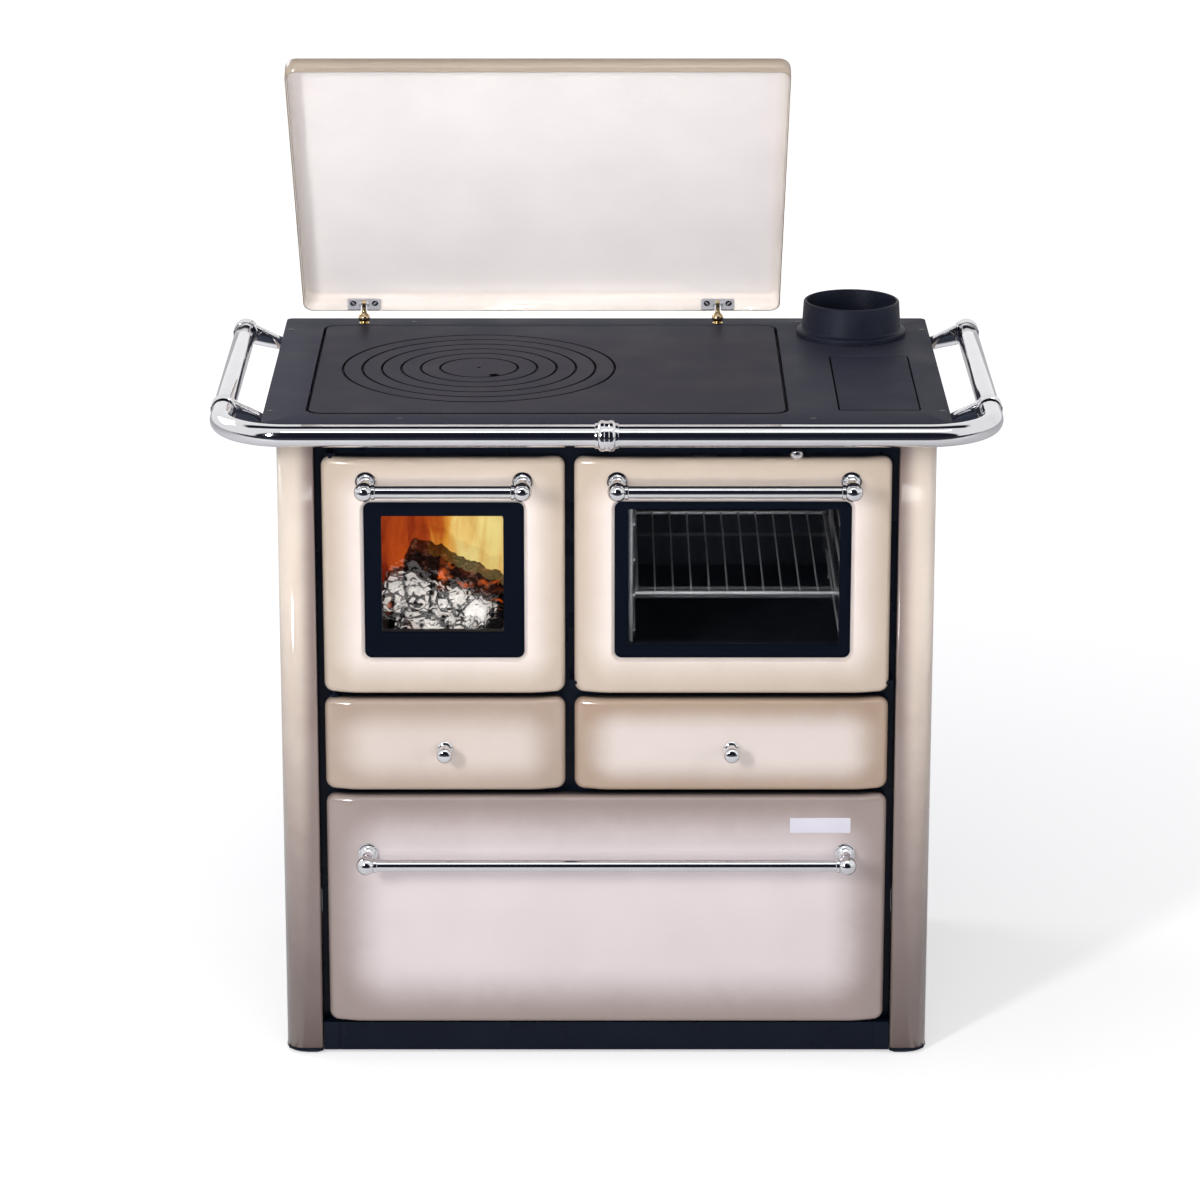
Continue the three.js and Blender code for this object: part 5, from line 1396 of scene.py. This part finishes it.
# %% [markdown]
# Flames are thin curved sheets that glow. Their colour runs from deep red on the left to yellow
# on the right, streaked upwards by a stretched noise, and their alpha fades out towards the top
# and in thin wisps. A tongue is a strip of quads, pinched at both ends and bent by noise.

# %% Flame material
flame = Finish("flame", (0, 0, 0), 1.0, Specular_IOR_Level=0, Emission_Strength=1.15)
licks = flame.mapped(flame.point, Rotation=(0, 0.35, 0), Scale=(38, 20, 11))
streak = flame.noise(licks, 1.0, 3.0, Distortion=0.6)
place = flame.parts(flame.point)
hotter = flame.ranged(place[0], -0.262, -0.17, 0.0, 0.85, smooth=True)
hotter = flame.plus(hotter, flame.ranged(streak, 0.3, 0.7, -0.22, 0.3))
ramp = flame.add("ValToRGB", {0: hotter})
colours = ramp.color_ramp.elements
colours[0].color = (0.22, 0.018, 0.006, 1)
colours[1].color = (0.9, 0.72, 0.26, 1)
colours.new(0.3).color = (0.5, 0.075, 0.01, 1)
colours.new(0.6).color = (0.8, 0.34, 0.04, 1)
fade = flame.ranged(place[2], 0.64, 0.715, 1.0, 0.0, smooth=True)
wisp = flame.ranged(streak, 0.25, 0.6, 0.35, 1.0)
flame.set(Emission_Color=ramp.outputs[0], Alpha=flame.times(fade, wisp))


# %% Flames
def tongue(bm, x, y, base, height, width, seed):
    """One strip of flame."""
    for v in sheet(bm, standing(x, y, base + height / 2), width, height, 8, 18):
        up = (v.co.z - base) / height
        across = (v.co.x - x) * 2 / width
        pinch = math.sin(math.pi * (0.22 + 0.78 * up)) ** 0.7 if up < 1 else 0.0
        sway = noise.noise(Vector((seed, up * 2.5, 0)))
        v.co.x = x + across * width / 2 * pinch + sway * width * 0.45 * up
        v.co.y += 0.012 * noise.noise(Vector((across * 1.2, up * 3, seed))) - 0.006 * across**2


bm = bmesh.new()
tongue(bm, -0.207, 0.098, 0.53, 0.19, 0.21, 2.0)
tongue(bm, -0.262, 0.07, 0.55, 0.15, 0.05, 3.1)
tongue(bm, -0.232, 0.052, 0.56, 0.14, 0.052, 4.7)
tongue(bm, -0.196, 0.045, 0.56, 0.15, 0.056, 5.3)
tongue(bm, -0.166, 0.03, 0.555, 0.15, 0.054, 6.9)
tongue(bm, -0.142, 0.012, 0.545, 0.14, 0.036, 8.2)
piece("flames", bm, "body", [flame.material], crease=180, recalculate=False)

# %% [markdown]
# ## The bare plate
# A small satin metal plate sits on the wood drawer's front, upper right. It carries no words.

# %% Bare plate
bm = bmesh.new()
levels = [(0, 0), (0, 0.7 * MM), (-0.4 * MM, 1.1 * MM)]
fill(bm, stack(bm, (0.233, 0.310, 0.305, 0.325), 1.2 * MM, levels, 4))
to_front = standing(0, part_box("wood_drawer_front")[0].y, 0)
bmesh.ops.transform(bm, matrix=to_front, verts=bm.verts)
piece("bare_plate", bm, "wood_drawer", [plate_metal])

# %% [markdown]
# ## Floor, light and background
# The floor is white to the camera yet still takes the stove's shadow. The background is white for
# the camera, for glass and for metal. Chrome only looks like chrome where it also mirrors something
# dark, so metal sees the unlit room round the camera: a dark cone in front, the far floor, and the
# ceiling behind the overhead light.


# %% Floor
def rays(nodes):
    """Whether a ray comes straight from the camera or through glass, and whether off metal."""
    path = nodes.add("LightPath").outputs
    seen = nodes.math("MAXIMUM", path["Is Camera Ray"], path["Is Transmission Ray"])
    return seen, path["Is Glossy Ray"]


WHITE = (1, 1, 1)
BLACK = (0, 0, 0)
GREY = (0.7, 0.7, 0.71)
ground = Finish("floor", GREY, 0.7, Specular_IOR_Level=0.1, Emission_Strength=1.0)
seen, glossy = rays(ground)
near_stove = ground.ranged(ground.parts(ground.point)[1], -1.9, -1.5, smooth=True)
mirrored = ground.times(ground.times(glossy, near_stove), 0.3)
reach = ground.add("VectorMath", {0: ground.point}, operation="LENGTH").outputs[1]
lift = ground.ranged(reach, 0.6, 3.0, 0.5, 0.85)
lift = ground.times(lift, ground.math("MAXIMUM", seen, mirrored))
unlit = ground.times(glossy, ground.math("SUBTRACT", 1.0, near_stove))
ground.set(Emission_Color=ground.mix(lift, BLACK, WHITE))
ground.set(Base_Color=ground.mix(unlit, GREY, (0.02, 0.024, 0.036)))
bm = bmesh.new()
bmesh.ops.create_grid(bm, x_segments=1, y_segments=1, size=30)
mesh = bpy.data.meshes.new("floor")
bm.to_mesh(mesh)
bm.free()
mesh.materials.append(ground.material)
floor = bpy.data.objects.new("floor", mesh)
bpy.context.scene.collection.objects.link(floor)
floor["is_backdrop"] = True

# %% [markdown]
# The studio has six soft lamps. The key stands up on the left. A wide low one lights the front,
# and a narrow weak one only the inside of the lid. The fill on the right opens the shadows, a
# strip overhead draws the bright ridges along the fronts' upper rims, and the top lamp lights the
# worktop from behind. Lamps that would show as spots in the chrome are hidden from it.


# %% Lamps
def lamp(name, place, aim, size, power, spread=180, mirrored=True):
    """A rectangular soft lamp. A small spread is a honeycomb grid in front of it."""
    data = bpy.data.lights.new(name, "AREA")
    data.shape = "RECTANGLE"
    data.size, data.size_y = size
    data.energy = power
    data.spread = math.radians(spread)
    made = bpy.data.objects.new(name, data)
    made.location = place
    made.rotation_euler = (Vector(aim) - Vector(place)).to_track_quat("-Z", "Y").to_euler()
    made.visible_glossy = mirrored
    bpy.context.scene.collection.objects.link(made)


lamp("key", (-1.95, -3.3, 2.0), (0, 0, 0.6), (0.4, 0.9), 84)
lamp("front", (0.5, -4.3, 0.9), (0, 0, 0.7), (2.6, 1.0), 44, mirrored=False)
lamp("lid", (-0.2, -3.0, 1.1), (0.0, 0.1, 0.98), (1.0, 0.6), 1.4, spread=26, mirrored=False)
lamp("fill", (3.0, -2.2, 1.4), (0, 0, 0.6), (1.2, 1.8), 30, mirrored=False)
lamp("ridge", (0.4, -1.5, 3.0), (0, -0.3, 0.6), (2.6, 0.25), 9)
lamp("top", (-1.7, 0.95, 2.0), (-0.1, 0, 0.8), (1.2, 0.8), 14)

# %% World
world = bpy.data.worlds.new("studio")
bpy.context.scene.world = world
world.use_nodes = True
sky = Nodes(world.node_tree)
seen, glossy = rays(sky)
direction = sky.parts(sky.add("TexCoord").outputs["Generated"])
around = sky.ranged(direction[1], -0.72, -0.64, smooth=True)
high_up = sky.ranged(direction[2], 0.78, 0.84, smooth=True)
overhead = sky.times(high_up, sky.ranged(direction[1], -0.02, 0.04, smooth=True))
room = sky.math("SUBTRACT", around, overhead, clamp=True)
mirrored = sky.mix(room, (0.012, 0.014, 0.024), WHITE)
light = sky.mix(glossy, (0.3, 0.3, 0.315), mirrored)
background = world.node_tree.nodes["Background"]
sky.put(background.inputs["Color"], sky.mix(seen, light, WHITE))

# %% [markdown]
# ## Sizes
# The box round everything that renders, the floor left out, is measured. The dressed
# stove may not be larger than the solid one.

# %% Sizes and the end
low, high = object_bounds()
